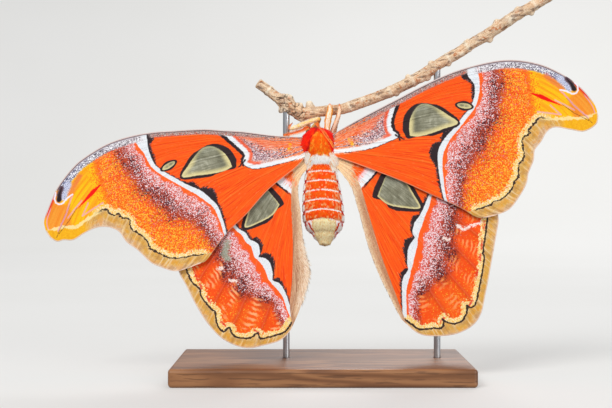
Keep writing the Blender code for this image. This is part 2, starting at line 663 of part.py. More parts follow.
def roughen(branch):
    """Uneven bark, lumpy at the knot."""
    for vertex in branch.data.vertices:
        z, _ = branch_at(vertex.co.x)
        middle = Vector((vertex.co.x, BRANCH_Y, z))
        out = vertex.co - middle
        rough, lumps = (3, 450) if KNOT_X[0] < vertex.co.x < KNOT_X[1] else (1, 250)
        vertex.co += out.normalized() * BARK_ROUGHNESS * rough * noise.noise(vertex.co * lumps)


def make_branch(collection, cutter_collection, material):
    """The cut length of branch with its buds, and a blind hole for each rod."""
    table = np.array(BRANCH_AXIS)
    path = smooth_path([(x, BRANCH_Y, z) for x, z, _ in BRANCH_AXIS], BRANCH_STEPS)
    radii = smooth_path(table[:, [2, 2]], BRANCH_STEPS)[:, 0]
    branch = tube("perch_branch", path, radii, collection, BRANCH_SIDES)
    roughen(branch)
    buds = []
    for x, angle, radius, height in BRANCH_BUDS:
        _, bark = branch_at(x)
        foot = branch_spot(x, angle, bark * 0.4)
        tip = branch_spot(x, angle, bark + height)
        buds.append(spike("bud", foot, tip, (radius, radius * 0.6), collection, 7))
    fuse(branch, buds)
    for x in ROD_X:
        z, _ = branch_at(x)
        hole = upright("rod_hole", x, BRANCH_Y, z - 0.02, z + 2 * GAP, ROD_RADIUS + GAP,
                       cutter_collection)
        cut(branch, hole)
        bpy.data.objects.remove(hole)
    branch.data.materials.clear()
    branch.data.materials.append(material)


def make_stand(collection, cutter_collection, wood, steel):
    """A flat wooden base and two steel rods that carry the branch."""
    mesh = bpy.data.meshes.new("stand_base")
    shape = bmesh.new()
    bmesh.ops.create_cube(shape, size=1.0)
    bmesh.ops.scale(shape, vec=(BASE_LENGTH, BASE_DEPTH, BASE_THICKNESS), verts=shape.verts)
    bmesh.ops.translate(shape, vec=(0, 0, BASE_THICKNESS / 2), verts=shape.verts)
    shape.to_mesh(mesh)
    shape.free()
    base = link("stand_base", mesh, collection, wood)
    bevel = base.modifiers.new("rounded edges", "BEVEL")
    bevel.width = BASE_CORNER
    bevel.segments = 3
    settled(base)
    for number, x in enumerate(ROD_X, 1):
        floor = BASE_THICKNESS - ROD_SOCKET
        hole = upright("rod_socket", x, BRANCH_Y, floor, 0.02, ROD_RADIUS + GAP, cutter_collection)
        cut(base, hole)
        bpy.data.objects.remove(hole)
        z, _ = branch_at(x)
        rod = upright(f"stand_rod_{number}", x, BRANCH_Y, floor + GAP, z + GAP, ROD_RADIUS, collection)
        rod.data.materials.append(steel)
    base.data.materials.clear()
    base.data.materials.append(wood)
    base.data.set_sharp_from_angle(angle=math.radians(40))


# ------------------------------------------------------------------ the whole


def material(name, colour, roughness, metallic=0.0):
    """A Principled material."""
    surface = bpy.data.materials.new(name)
    surface.use_nodes = True
    shader = surface.node_tree.nodes["Principled BSDF"]
    shader.inputs["Base Color"].default_value = (*colour, 1.0)
    shader.inputs["Roughness"].default_value = roughness
    shader.inputs["Metallic"].default_value = metallic
    surface.diffuse_color = (*colour, 1.0)
    return surface


def new_collection(name):
    """A collection in the scene."""
    collection = bpy.data.collections.new(name)
    bpy.context.scene.collection.children.link(collection)
    return collection


def main():
    """Clears the scene and builds the moth, its perch and its stand."""
    for thing in list(bpy.data.objects):
        bpy.data.objects.remove(thing)
    moth = new_collection("atlas_moth")
    cutter_collection = new_collection("cutters")

    wing_scales = material("wing_scales", (0.85, 0.16, 0.02), 0.75)
    red_fur = material("thorax_fur", (0.72, 0.03, 0.01), 0.9)
    banded_fur = material("abdomen_fur", (0.80, 0.15, 0.03), 0.9)
    feeler = material("antenna", (0.80, 0.25, 0.03), 0.8)
    leg_fur = material("leg_fur", (0.80, 0.45, 0.20), 0.9)
    eye = material("eye", (0.02, 0.015, 0.01), 0.2)
    bark = material("bark", (0.45, 0.30, 0.20), 0.9)
    wood = material("stand_wood", (0.30, 0.17, 0.08), 0.5)
    steel = material("stand_steel", (0.60, 0.60, 0.60), 0.3, 1.0)

    make_thorax(moth, red_fur)
    cutters = {"thorax": make_thorax(cutter_collection, None, "thorax_cutter", GAP)}
    make_abdomen(moth, banded_fur)
    make_head(moth, cutters, red_fur)
    grown = [size + GAP for size in HEAD_SIZE]
    cutters["head"] = ellipsoid("head_cutter", HEAD_MIDDLE, grown, cutter_collection)
    make_eyes(moth, cutters, eye)
    for kind in ("fore", "hind"):
        for side in ("left", "right"):
            make_wing(kind, side, moth, wing_scales)
    make_antennae(moth, cutters, feeler)
    make_legs(moth, cutters, leg_fur)
    for cutter in cutters.values():
        bpy.data.objects.remove(cutter)
    make_branch(moth, cutter_collection, bark)
    make_stand(moth, cutter_collection, wood, steel)


main()
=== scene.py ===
import math

import bmesh
import bpy
import numpy as np
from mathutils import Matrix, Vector, noise


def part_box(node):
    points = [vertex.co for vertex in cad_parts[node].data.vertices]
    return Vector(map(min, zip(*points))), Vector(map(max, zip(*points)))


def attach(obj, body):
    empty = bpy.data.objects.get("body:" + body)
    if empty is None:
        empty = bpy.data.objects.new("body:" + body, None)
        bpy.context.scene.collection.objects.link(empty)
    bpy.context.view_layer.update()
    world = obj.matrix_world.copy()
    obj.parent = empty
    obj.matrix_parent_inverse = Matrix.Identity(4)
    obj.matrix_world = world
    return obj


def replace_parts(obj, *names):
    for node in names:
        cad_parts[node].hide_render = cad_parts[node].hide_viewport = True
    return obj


# Looks of the life-size atlas moth: wing skins with their pattern of scales, body and coat, feelers,
# legs, bark, stand, floor and light. Sizes are in metres in the part's own axes (+X to the right
# when its back is seen, +Y from back to belly, +Z up), but a wing's outline and pattern are in
# millimetres of the wing's own frame, and colours are 0 to 255 as seen on a screen.

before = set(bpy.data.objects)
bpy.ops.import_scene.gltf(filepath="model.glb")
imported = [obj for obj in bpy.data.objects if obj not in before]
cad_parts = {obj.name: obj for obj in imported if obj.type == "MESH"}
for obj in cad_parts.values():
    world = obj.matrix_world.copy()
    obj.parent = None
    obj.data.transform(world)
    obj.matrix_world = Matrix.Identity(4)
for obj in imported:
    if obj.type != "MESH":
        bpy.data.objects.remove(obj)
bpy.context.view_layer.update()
rng = np.random.default_rng(5)

# ------------------------------------------------------------------ view and light

CAMERA_SPOT = (-0.0071, -0.6050, 0.0771)
CAMERA_LENS = 79.5
SENSOR = 36.0
LIGHTS = {"key": ((-0.90, -1.60, 1.50), 1.00, 36.0),         # place, size and power
          "fill": ((1.40, -1.40, 0.50), 1.20, 14.0),
          "back": ((0.50, 1.70, 1.40), 1.20, 20.0)}
LIGHT_AIM = (0.0, 0.0, 0.10)
SKY = (240, 242, 245)
SKY_STRENGTH = 0.42
FLOOR_FLAT = 1.3                 # radius of the flat floor, which then curves up into a wall
FLOOR_CURVE = 1.0
WALL_TOP = 3.0
FLOOR_SIDES = 96
FLOOR_GLOW = 0.32                # evens out the light over floor and wall

# ------------------------------------------------------------------ wings: shape

KINDS = ("fore", "hind")
SIDES = ("left", "right")
WING_ROOT = (-0.0010, 0.1010)    # x and z of the middle between the wings' roots
WING_PLANE_Y = -0.0050
WING_LAYER_Y = {"fore": -0.0009, "hind": 0.0009}
WING_SPAN = 0.115
TIP_DROOP = 0.0050
WING_TILT = {"right": 0.05, "left": 0.09}
ROOT_SUNK = 0.0012               # how far a wing's skin reaches into the thorax
ROOT_POINTS = 12
SKIN_HALF = 0.00016              # half the thickness of the membrane with its scales
RIDGE_HEIGHT = 0.00026           # a vein over the membrane
FLUTE = 0.00035                  # the membrane's bulge between two veins
PANE_SUNK = 0.00008              # the bare windows are thinner by this much on each face
WRINKLE = 0.00010                # the margin's folds
WRINKLE_PITCH = 2.9              # mm
SKIN_STEP = 0.00062              # spacing of the skin's lines at the margin
SKIN_ROWS = {"fore": 190, "hind": 150}
ROW_CROWDING = 1.15              # how the rows crowd towards the margin, 1 if even
RIM_HALF = 0.45                  # the skin's thickness at its rim, as a share of the rest
RIDGE_FADE = 0.65                # how much lower a vein is at the margin than at the root
RIDGE_PROFILE = ((-1.0, 0.0), (-0.5, 0.65), (0.0, 1.0), (0.5, 0.65), (1.0, 0.0))
EDGE_STEPS = 12                  # between two points of an edge
OUTLINE = {                      # a wing's edges: front, outer, and inner from the root to the margin
    ("fore", "right"): (
        [(9.9, 14.3), (26.1, 22.9), (40.4, 30.4), (54.7, 36.2), (72.8, 40.1), (88, 38.5), (100.1, 33.1),
         (107.4, 27.6), (112.9, 20.8), (114.9, 15.3)],
        [(113.8, 11.3), (108.4, 8.2), (102.1, 9), (95.4, 10), (91.8, 8), (89.1, 3.5), (86.4, -0.1),
         (85.8, -4.7), (83.6, -10.2), (82.7, -14.7), (79.9, -20.1), (75.4, -26), (70, -28.7),
         (63.7, -30.2)],
        [(10, -6.8), (27.5, -13.7), (40.2, -19.6), (52.9, -25.4), (60, -29.6)]),
    ("fore", "left"): (
        [(7.5, 11), (14.8, 16.2), (20.5, 20.3), (27.1, 24.3), (33.7, 28.4), (40.6, 31.6), (47.7, 34.6),
         (55, 37.6), (64.7, 40.3), (75.1, 41.4), (86.7, 40), (93.3, 37.8), (100.6, 33.9), (104.7, 30.9),
         (109.7, 26.2), (113.9, 21.4), (115.1, 17.1)],
        [(114.6, 13.2), (112.7, 10.1), (110, 9.4), (106.2, 7.4), (100.5, 7.9), (95, 7.7), (90.4, 5.5),
         (87.3, 1.5), (86.3, -4.7), (83.8, -10.2), (81.3, -18.1), (78.7, -22.1), (74, -27.2), (68.6, -28.8),
         (62.8, -29.3)],
        [(8.1, -7.2), (22, -11.2), (35.8, -17.8), (47.8, -22.4), (59.2, -29.1)]),
    ("hind", "right"): (
        [(12, 2.2), (28.9, -1.3), (44.8, -7.5), (57.7, -15.1), (67.6, -22)],
        [(68.2, -26.2), (67.4, -31.4), (65.8, -40.2), (64.2, -49), (62.3, -58.6), (60.2, -67.2),
         (56.2, -72.7), (48.6, -76.2), (39.2, -77), (32, -75.5), (25, -69.4)],
        [(2.7, -10.5), (6.4, -21.6), (10.7, -37.5), (15.5, -50), (20.9, -61.1)]),
    ("hind", "left"): (
        [(12, 2.2), (28.9, -1.3), (44.8, -8.5), (57.7, -18.1), (67, -27.6)],
        [(67.1, -34.4), (65.8, -40.8), (64.2, -51.1), (61.8, -61), (57.8, -69.6), (50.4, -75.8),
         (41.1, -76.9), (34, -76.4), (28.1, -72.9), (24.4, -67.2)],
        [(2.6, -8.4), (6.3, -23.9), (9, -34.5), (10, -40), (10.3, -45), (11.6, -51), (14.7, -56.7),
         (19.2, -62.2)]),
}
MIRROR = {"right": (1, 1), "left": (-1, 1)}     # a left wing is drawn pointing right, then mirrored
WING_AXIS = {"fore": 16.2, "hind": -50.0}       # degrees from its frame's x axis to a wing's length
WING_POSE = {                    # place of a wing's root and edge on the thorax, turn and stretch
    ("fore", "right"): {"root": (0.0072, 0.1009), "edge": (0.1076, 0.0988), "turn": 0.0,
                        "span": 1.0169, "chord": 1.0017, "taper": 0.0, "bend": 0.0},
    ("fore", "left"): {"root": (-0.0077, 0.1018), "edge": (0.1067, 0.0988), "turn": -26.2,
                       "span": 1.0394, "chord": 0.8777, "taper": 0.0854, "bend": -0.0009},
    ("hind", "right"): {"root": (0.0099, 0.0962), "edge": (0.0985, 0.0957), "turn": 0.0,
                        "span": 1.0072, "chord": 1.0120, "taper": 0.0, "bend": 0.0},
    ("hind", "left"): {"root": (-0.0105, 0.0948), "edge": (0.0985, 0.0957), "turn": -18.8,
                       "span": 0.9277, "chord": 0.8209, "taper": 0.2953, "bend": 0.0052},
}
# Veins, at parts of the way from a wing's front edge to its rear
VEINS = {"fore": (0.055, 0.135, 0.215, 0.32, 0.47, 0.63, 0.79, 0.93),
         "hind": (0.06, 0.20, 0.36, 0.52, 0.68, 0.84)}
VEIN_WIDTH = 0.0009
FRONT_VEIN = 0.0007              # from the front edge to the middle of the vein along it

# ------------------------------------------------------------------ wings: pattern, in mm

BAND_STEPS = 6                   # between two points of the band's middle
WAVE_STEPS = 4                   # between two points of the wavy line
CURVE_STEPS = 5                  # between two points of any other line
BAND = {                         # middle of the white band, from the front edge to the rear
    ("fore", "right"): [(58.4, 38.4), (58.9, 34.4), (60.8, 29.3), (60.6, 24.1), (58.9, 19), (55.5, 14.5),
                        (51.6, 9.4), (47.7, 4.8), (44.9, -0.8), (44.6, -7), (45.2, -12.7), (46, -18.3),
                        (47.6, -24.5)],
    ("fore", "left"): [(59.8, 39.5), (60.8, 34.6), (61, 30.2), (61.2, 23.2), (59.4, 18.3), (56.2, 12.7),
                       (52.6, 6.8), (49.2, 1.6), (47, -3.6), (45.7, -8.2), (46.1, -14), (46.9, -18.9),
                       (48, -24.5)],
    ("hind", "right"): [(44.5, -5), (41, -10), (37.9, -15.4), (36.4, -19.8), (34.2, -24.7), (32.5, -28.1),
                        (31.5, -31.5), (31.7, -34), (29.8, -39.4), (29, -44.7), (28.7, -48.1), (26.8, -53),
                        (26.3, -57.9), (26.5, -65.2), (26.5, -70)],
    ("hind", "left"): [(41.2, -9.9), (40, -12.5), (37.4, -20.1), (34.9, -23.7), (33.9, -27.4),
                       (31.6, -30.6), (31.7, -34.2), (32.1, -36.5), (29.3, -40.2), (28.9, -44.9),
                       (29.3, -49.1), (26.9, -52.9), (25.9, -58.2), (26.1, -64.6), (25.5, -69)],
}
BASE_BAND = {                    # outer edge of the white line round the wing's base
    ("fore", "right"): [(26.6, 24), (25.4, 20.4), (23.8, 16), (23, 12), (23.8, 8.8), (26.4, 6.2),
                        (22.5, 4.1), (14.5, 0.9), (5.6, -0.6), (-3, -1.5)],
    ("fore", "left"): [(28.4, 23.5), (27, 19.7), (25, 13.7), (24, 9), (26.6, 5.6), (23.6, 1.2),
                       (18.2, -0.7), (12, -2.1), (5.1, -3.4), (-3, -5)],
    ("hind", "right"): [(15.6, -1.5), (14.2, -4.2), (11, -8), (6.7, -12.8), (3.5, -17)],
    ("hind", "left"): [(14.6, -2.4), (12.7, -5.2), (10.2, -8.8), (7, -13.4), (4, -18)],
}
WAVE = {                         # the dark wavy line along the margin, from the tip to the rear
    ("fore", "right"): [(111.5, 15.6), (108.3, 14.5), (101, 14.2), (94.4, 14), (88.4, 14.2), (86.6, 12.2),
                        (83.7, 9.1), (84, 7.1), (81.2, 5.4), (80.9, 1.4), (81.4, -3.1), (79.1, -7.1),
                        (78.9, -11.7), (76.9, -15), (75.7, -17.9), (73.5, -20.1), (71.8, -21.8),
                        (68.4, -22.9), (65.7, -24.8), (60.5, -26.4)],
    ("fore", "left"): [(111.5, 16.2), (106.8, 14.8), (103, 12.6), (98.7, 13.2), (91, 14.1), (87.6, 13.4),
                       (87, 10.8), (85.8, 9.1), (84, 9.4), (83.4, 6.7), (81, 4.8), (81.8, -0.2),
                       (80.5, -2.5), (78.2, -8.2), (78.6, -12.3), (75.8, -16.7), (73, -20.5), (69, -22.9),
                       (64.6, -24.2), (60, -26)],
    ("hind", "right"): [(63.5, -18.5), (63.1, -25.7), (62.2, -33), (61.2, -40.1), (61.7, -43.3),
                        (60.4, -51), (58.9, -58.5), (57.8, -62.6), (55.8, -64.6), (53.8, -63.7),
                        (54.1, -65.6), (53.1, -68.6), (51.4, -70.6), (48, -71.6), (45, -70.8),
                        (43.3, -69.5), (43.8, -71.2), (42.6, -73.4), (38.9, -73.5), (33.5, -74),
                        (31.2, -72.8), (26.5, -69.5)],
    ("hind", "left"): [(64, -25), (63.8, -33.1), (63, -39.4), (60.7, -43.4), (60.9, -47.7), (58.5, -54.3),
                       (57.4, -56.3), (58.2, -62.5), (56.7, -66.1), (53.7, -64.8), (53, -69.3), (47.1, -72),
                       (43, -70.6), (42.6, -73.4), (37.4, -73.8), (31.5, -73.4), (26, -69.5)],
}
# Half width of the white band at fractions of its length
BAND_HALF = {"fore": ((0.00, 0.07, 0.14, 0.22, 0.50, 0.62, 0.75, 1.00),
                      (2.7, 2.3, 1.15, 0.9, 0.95, 1.3, 0.9, 0.5)),
             "hind": ((0.00, 0.18, 0.25, 0.32, 0.38, 0.43, 0.466, 0.51, 0.55, 0.63, 0.68, 0.72,
                       0.76, 0.82, 1.00),
                      (0.7, 0.7, 1.0, 1.1, 1.8, 1.5, 0.6, 1.6, 1.8, 1.3, 0.6, 1.3, 1.3, 0.9, 0.9))}
# Depth of the black along the band's inner side at fractions of its length
BAND_DARK = {"fore": ((0.00, 0.03, 0.07, 0.10, 0.18, 0.22, 0.26, 0.45, 0.49, 0.53, 0.57, 0.59, 0.62,
                       0.66, 0.70, 0.74, 0.82, 0.92, 1.00),
                      (0.8, 3.2, 3.0, 1.3, 1.5, 1.3, 0.5, 0.5, 0.9, 2.3, 1.7, 0.9, 3.2, 4.0, 3.2,
                       1.2, 1.2, 0.7, 0.3)),
             "hind": ((0.00, 0.18, 0.24, 0.32, 0.34, 0.36, 0.41, 0.455, 0.47, 0.49, 0.54, 0.62, 0.665,
                       0.68, 0.70, 0.75, 0.82, 1.00),
                      (0.6, 0.8, 1.4, 0.9, 2.4, 2.2, 1.2, 0.3, 1.6, 3.2, 2.6, 0.9, 0.3, 1.8, 2.4,
                       1.1, 0.7, 0.4))}
# How much faster the outer field's colours change than at its usual place, by the spot's y
ZONE_PACE = {"fore": ((-24, -14, -4, 10, 28), (2.2, 1.4, 0.9, 1.2, 1.4)),
             "hind": ((-60, -56, -49, -38, -28), (2.4, 1.4, 0.85, 0.85, 1.0))}
FOLD_LINE = {                    # wing side of the fold along the hindwing's inner edge
    "right": [(1.5, 2), (4.6, -5), (7.8, -13.1), (12, -27.6), (16.7, -42.7), (22.1, -57.1), (26.5, -69)],
    "left": [(1.5, 2), (4.6, -5), (8.5, -15.4), (13.3, -33.1), (19.5, -50.2), (24.8, -61.7), (27, -70)]}
WINDOW = {"fore": [(31.3, 6.2), (31, 10), (31.6, 14.4), (34.3, 19), (37.6, 20.6), (42.1, 19.2),
                   (47.6, 15.8), (52.4, 12), (46.4, 9.5), (41, 7.5), (35.6, 6.1)],
          "hind": [(14.6, -15.6), (19.3, -19.2), (26.2, -20.6), (33.4, -20.8), (31.2, -15.8),
                   (27.2, -9.6), (23, -7.3), (18.9, -6.3), (16.4, -11)]}
# Width of the black border round a window, by the direction from its middle in degrees
WINDOW_BORDER = {"fore": ((0, 12, 40, 62, 80, 95, 115, 135, 165, 200, 222, 235, 265, 290, 330, 360),
                          (0.9, 1.3, 1.6, 1.3, 0.5, 0.2, 0.6, 1.9, 2.9, 2.9, 1.4, 0.0, 0.5, 1.3, 1.4,
                           0.9)),
                 "hind": ((0, 45, 90, 135, 170, 190, 203, 228, 240, 270, 315, 340, 360),
                          (1.6, 1.6, 1.0, 2.4, 2.6, 2.2, 0.1, 0.1, 1.2, 1.8, 1.3, 1.5, 1.6))}
SMALL_WINDOW = {"middle": (55.2, 19.6), "half": (3.2, 1.15), "turn": -8.0, "border": 1.05}
APEX_EDGE = [(81.5, 42), (84, 33), (85.5, 24), (86.5, 12)]
TIP_EDGE = [(104.5, 31), (105, 26), (101.5, 22.5), (104, 14)]
RED_STREAK = [(85.2, 25.1), (90.5, 23.2), (98.9, 19.5)]
EYE_SPOT = [(100.8, 31.7), (102.9, 29.4), (104.0, 27.2)]
EYE_CLOUD = [(97.6, 31.8), (100.4, 29.4), (101.8, 27.4)]
EYE_SMEAR = [(91.5, 33.0), (95.6, 29.8), (98.6, 27.6)]
EYE_LINE = [(103.9, 30.8), (105.6, 28.6), (105.7, 26.6), (104.8, 25.3), (103.2, 25.0), (100.4, 26.3),
            (97.7, 26.8)]
LILAC_LINES = [[(98.0, 26.4), (101.0, 23.2), (103.8, 19.9), (106.8, 17.2), (110.4, 14.4)],
               [(95.4, 22.2), (99.2, 20.4), (104.0, 17.8)], [(93.4, 19.9), (98.0, 15.7)],
               [(87.6, 17.0), (98.0, 15.7)]]
DARK_LINES = [[(100.6, 23.0), (105.8, 18.2), (112.0, 12.0)],
              [(98.6, 20.3), (104.0, 16.4), (110.6, 13.0)]]
YELLOW_PATCH = [(4.6, 4.6), (6.2, 2.6)]                                  # at the forewing's root
BASE_TICK = [[(25.0, 6.6), (28.6, 4.9)], [(26.2, 7.8), (26.8, 4.4)]]     # star beside the fore base
PALE_MARKS = {"right": [[(50.0, -28.4), (52.4, -30.4), (55.2, -28.8), (60.5, -27.2)],
                        [(43.8, -34.2), (46.3, -34.7)]],
              "left": [[(50.4, -36.3), (48.4, -36.7)], [(46.9, -43.2), (44.4, -44.6)]]}
WORN_PATCH = [(43.2, -25.4), (45.6, -30.0), (45.2, -32.6)]               # bare spot, left hindwing
HIND_CLOUDS = [[(46.4, -22.0), (47.6, -28.0)], [(44.2, -35.5), (48.0, -41.0)],
               [(40.8, -46.0), (43.5, -51.8)], [(34.0, -54.8), (35.6, -58.0)]]
RED_DOTS = [[(61.9, -27.0), (61.5, -30.4)], [(60.8, -35.2), (60.4, -38.6)],
            [(60.2, -41.0), (59.7, -43.8)], [(58.9, -48.0), (58.0, -51.4)],
            [(56.2, -61.2), (55.2, -63.4)], [(43.6, -69.0), (42.2, -70.8)]]
FLAME_ROWS = 40                  # pale bars from the hindwing's root to its margin
GRAIN = 3.1                      # scales seen as grains, per mm
FINE_GRAIN = 5.6
SCALE_ROUGHNESS = 0.66
PANE_ROUGHNESS = 0.26

# ------------------------------------------------------------------ wings: colours

ORANGE = (252, 80, 4)
WHITE = (238, 240, 242)
BLACK = (46, 32, 36)
PINK_WHITE = (248, 220, 224)
YELLOW = (255, 196, 6)
CREAM_YELLOW = (250, 212, 124)
COSTA_GREY = (164, 138, 132)
LILAC = (236, 170, 190)
RED = (250, 12, 0)
# Shares of white, dark and yellow grains by the distance in mm outside the white band
ZONE = {
    "fore": ((0.0, (0.00, 0.00, 0.00)), (1.2, (0.04, 0.01, 0.00)), (2.1, (0.50, 0.18, 0.00)),
             (5.5, (0.48, 0.30, 0.00)), (8.5, (0.30, 0.55, 0.00)), (12.0, (0.17, 0.52, 0.06)),
             (15.5, (0.07, 0.22, 0.26)), (21.0, (0.05, 0.06, 0.42)), (40.0, (0.05, 0.03, 0.48))),
    "hind": ((0.0, (0.00, 0.00, 0.00)), (1.7, (0.04, 0.00, 0.00)), (2.8, (0.50, 0.18, 0.00)),
             (6.5, (0.50, 0.28, 0.00)), (9.5, (0.30, 0.52, 0.00)), (13.5, (0.10, 0.52, 0.02)),
             (17.0, (0.02, 0.10, 0.08)), (20.0, (0.01, 0.01, 0.12)), (40.0, (0.00, 0.00, 0.15))),
}
# The other scales by a value that runs over them: stops of (value, colour)
SHADES = {
    "field": ((0.30, (234, 54, 2)), (0.44, ORANGE), (0.58, (255, 96, 8)), (0.70, (255, 120, 22))),
    "fore": ((0.0, (255, 104, 28)), (1.3, (255, 98, 34)), (2.2, (230, 114, 98)), (6.0, (212, 90, 76)),
             (9.0, (170, 66, 50)), (12.5, (192, 68, 34)), (15.5, (240, 86, 18)),
             (21.0, (252, 100, 10)), (40.0, (255, 118, 12))),
    "hind": ((0.0, (255, 98, 22)), (1.8, (255, 92, 26)), (2.9, (228, 106, 96)), (7.0, (210, 82, 70)),
             (10.0, (180, 68, 48)), (13.5, (206, 70, 30)), (16.5, (246, 80, 12)),
             (20.0, (250, 80, 6)), (40.0, (250, 92, 10))),
    "base": ((0.0, (232, 96, 44)), (0.34, (244, 96, 34)), (0.50, (206, 120, 112)),
             (0.70, (176, 134, 144)), (0.84, (238, 190, 176)), (1.0, WHITE)),
    "margin": ((0.0, (240, 210, 146)), (1.0, (214, 170, 96)), (2.2, (220, 166, 70)),
               (3.4, (228, 184, 118)), (4.6, (216, 178, 140)), (6.0, (232, 196, 160))),
    "gold": ((-0.4, (238, 158, 10)), (0.4, (255, 196, 24))),
    "front": ((60.0, (206, 192, 196)), (84.0, (160, 152, 166)), (102.0, (140, 146, 182))),
    # the windows' olive membrane, with painted reflection streaks
    "pane_and_glints": ((0.34, (98, 96, 78)), (0.46, (122, 120, 98)), (0.56, (142, 140, 118)),
             (0.66, (186, 184, 162))),
    "fold": ((0.0, (176, 116, 82)), (0.12, (196, 142, 106)), (0.35, (180, 126, 94)),
             (0.6, (210, 164, 128)), (0.85, (236, 200, 164)), (1.0, (244, 214, 182))),
    "shimmer": ((0.0, (150, 150, 150)), (1.0, (220, 220, 220))),
}


# ------------------------------------------------------------------ numbers, curves and meshes


def rgba(colours):
    """Screen colours, one or a row of each, as linear ones with alpha."""
    parts = np.asarray(colours, float) / 255
    light = np.where(parts <= 0.04045, parts / 12.92, ((parts + 0.055) / 1.055) ** 2.4)
    return np.concatenate([light, np.ones((*light.shape[:-1], 1))], axis=-1)


def columns(*values):
    """Rows put together from columns, of which some may be single numbers."""
    return np.stack(np.broadcast_arrays(*values), axis=-1)


def smooth_path(points, steps):
    """Points along a Catmull-Rom curve through the given points."""
    points = np.array(points, float)
    points = [2 * points[0] - points[1], *points, 2 * points[-1] - points[-2]]
    t = (np.arange(steps) / steps)[:, None]
    path = [0.5 * (2 * b + (c - a) * t + (2 * a - 5 * b + 4 * c - d) * t ** 2
                   + (3 * b - a - 3 * c + d) * t ** 3)
            for a, b, c, d in zip(points, points[1:], points[2:], points[3:])]
    return np.concatenate([*path, [points[-2]]])


def along(path, fractions):
    """Points at the given fractions of a path's length."""
    steps = np.linalg.norm(np.diff(path, axis=0), axis=1)
    lengths = np.concatenate([[0], np.cumsum(steps)])
    return columns(*(np.interp(fractions, lengths / lengths[-1], column) for column in path.T))


def unit(vectors):
    """Vectors of length one."""
    return vectors / np.maximum(np.linalg.norm(vectors, axis=-1, keepdims=True), 1e-12)


def heading_of(path):
    """The direction of a path at each of its points."""
    return unit(np.gradient(path, axis=0))


def rotation(degrees):
    """The matrix that turns flat points by an angle."""
    turn = math.radians(degrees)
    return np.array([[math.cos(turn), -math.sin(turn)], [math.sin(turn), math.cos(turn)]])


def rise(value, low, high):
    """0 below low, 1 above high, and smooth between."""
    t = np.clip((value - low) / (high - low), 0, 1)
    return t * t * (3 - 2 * t)


def fall(value, low, high):
    """1 below low, 0 above high, and smooth between."""
    return 1 - rise(value, low, high)


def offset_from(points, line):
    """Signed distances of points from a line, positive on its left, and the fraction along it."""
    best = np.full(len(points), np.inf)
    square, signed, spot = np.zeros((3, len(points)))
    steps = np.diff(line, axis=0)
    sizes = np.linalg.norm(steps, axis=1)
    starts = np.concatenate([[0], np.cumsum(sizes)])
    for start, step, size, before in zip(line, steps, sizes, starts):
        rel = points - start
        part = np.clip(rel @ step / size ** 2, 0, 1)
        distance = np.linalg.norm(rel - part[:, None] * step, axis=1)
        side = (step[0] * rel[:, 1] - step[1] * rel[:, 0]) / size
        tie = (distance < best + 1e-9) & (np.abs(side) > square)
        near = (distance < best - 1e-9) | tie
        best[near] = distance[near]
        square[near] = np.abs(side)[near]
        signed[near] = (distance * np.where(side >= 0, 1, -1))[near]
        spot[near] = (before + part * size)[near] / starts[-1]
    return signed, spot


def gap_from(spots, points, steps):
    """Signed distances of spots from a smooth curve through points."""
    return offset_from(spots, smooth_path(points, steps))[0]


def mesh_object(name, vertices, triangles, material, slot, uv=None, attributes=None, normals=None):
    """A shown piece made of triangles, riding on the model's one body."""
    triangles = np.asarray(triangles, np.int32)
    mesh = bpy.data.meshes.new(name)
    mesh.vertices.add(len(vertices))
    mesh.vertices.foreach_set("co", np.asarray(vertices, np.float32).ravel())
    mesh.loops.add(triangles.size)
    mesh.loops.foreach_set("vertex_index", triangles.ravel())
    mesh.polygons.add(len(triangles))
    mesh.polygons.foreach_set("loop_start", np.arange(0, triangles.size, 3, dtype=np.int32))
    mesh.update(calc_edges=True)
    if uv is not None:
        layer = mesh.uv_layers.new(name="OFBake")
        layer.uv.foreach_set("vector", np.asarray(uv, np.float32)[triangles.ravel()].ravel())
    for key, values in (attributes or {}).items():
        kind, field = {1: ("FLOAT", "value"), 3: ("FLOAT_VECTOR", "vector"),
                       4: ("FLOAT_COLOR", "color")}[values.size // len(values)]
        stored = mesh.attributes.new(key, kind, "POINT").data
        stored.foreach_set(field, np.asarray(values, np.float32).ravel())
    mesh.shade_smooth()
    if normals is not None:
        mesh.normals_split_custom_set_from_vertices(np.asarray(normals, np.float32))
    mesh.materials.append(material)
    thing = bpy.data.objects.new(name, mesh)
    bpy.context.scene.collection.objects.link(thing)
    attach(thing, "root")
    return thing


def ring_triangles(rows, sides):
    """Triangles of a closed tube of rings, with a fan over each end."""
    ring, last = np.arange(sides), (rows - 1) * sides
    start = sides * np.arange(rows - 1)[:, None]
    a, b, i = start + ring, start + (ring + 1) % sides, ring[1:-1]
    wall = np.stack([columns(a, b, b + sides), columns(a, b + sides, a + sides)], axis=1)
    ends = np.stack([columns(0, i + 1, i), columns(last, last + i, last + i + 1)], axis=1)
    return np.concatenate([wall.reshape(-1, 3), ends.reshape(-1, 3)])


def tube(path, radii, sides):
    """Points of a round tube along a path, the direction out at each of them, and its triangles."""
    path = np.asarray(path, float)
    heading = heading_of(path)
    first = np.cross(heading[0], (0.0, 1.0, 0.0) if abs(heading[0][1]) < 0.9 else (1.0, 0.0, 0.0))
    across = [unit(first)]
    for way in heading[1:]:
        across.append(unit(across[-1] - way * (across[-1] @ way)))
    across = np.array(across)
    up = np.cross(heading, across)
    turns = 2 * math.pi * np.arange(sides) / sides
    out = (np.cos(turns)[None, :, None] * across[:, None, :]
           + np.sin(turns)[None, :, None] * up[:, None, :])
    points = path[:, None, :] + out * np.asarray(radii, float).reshape(-1, 1, 1)
    return points.reshape(-1, 3), out.reshape(-1, 3), ring_triangles(len(path), sides)


def merged(tubes):
    """The points and triangles of several tubes as one mesh."""
    starts = np.cumsum([0, *(len(points) for points, _, _ in tubes)])
    return (np.concatenate([points for points, _, _ in tubes]),
            np.concatenate([faces + start for (_, _, faces), start in zip(tubes, starts)]))


# ------------------------------------------------------------------ materials


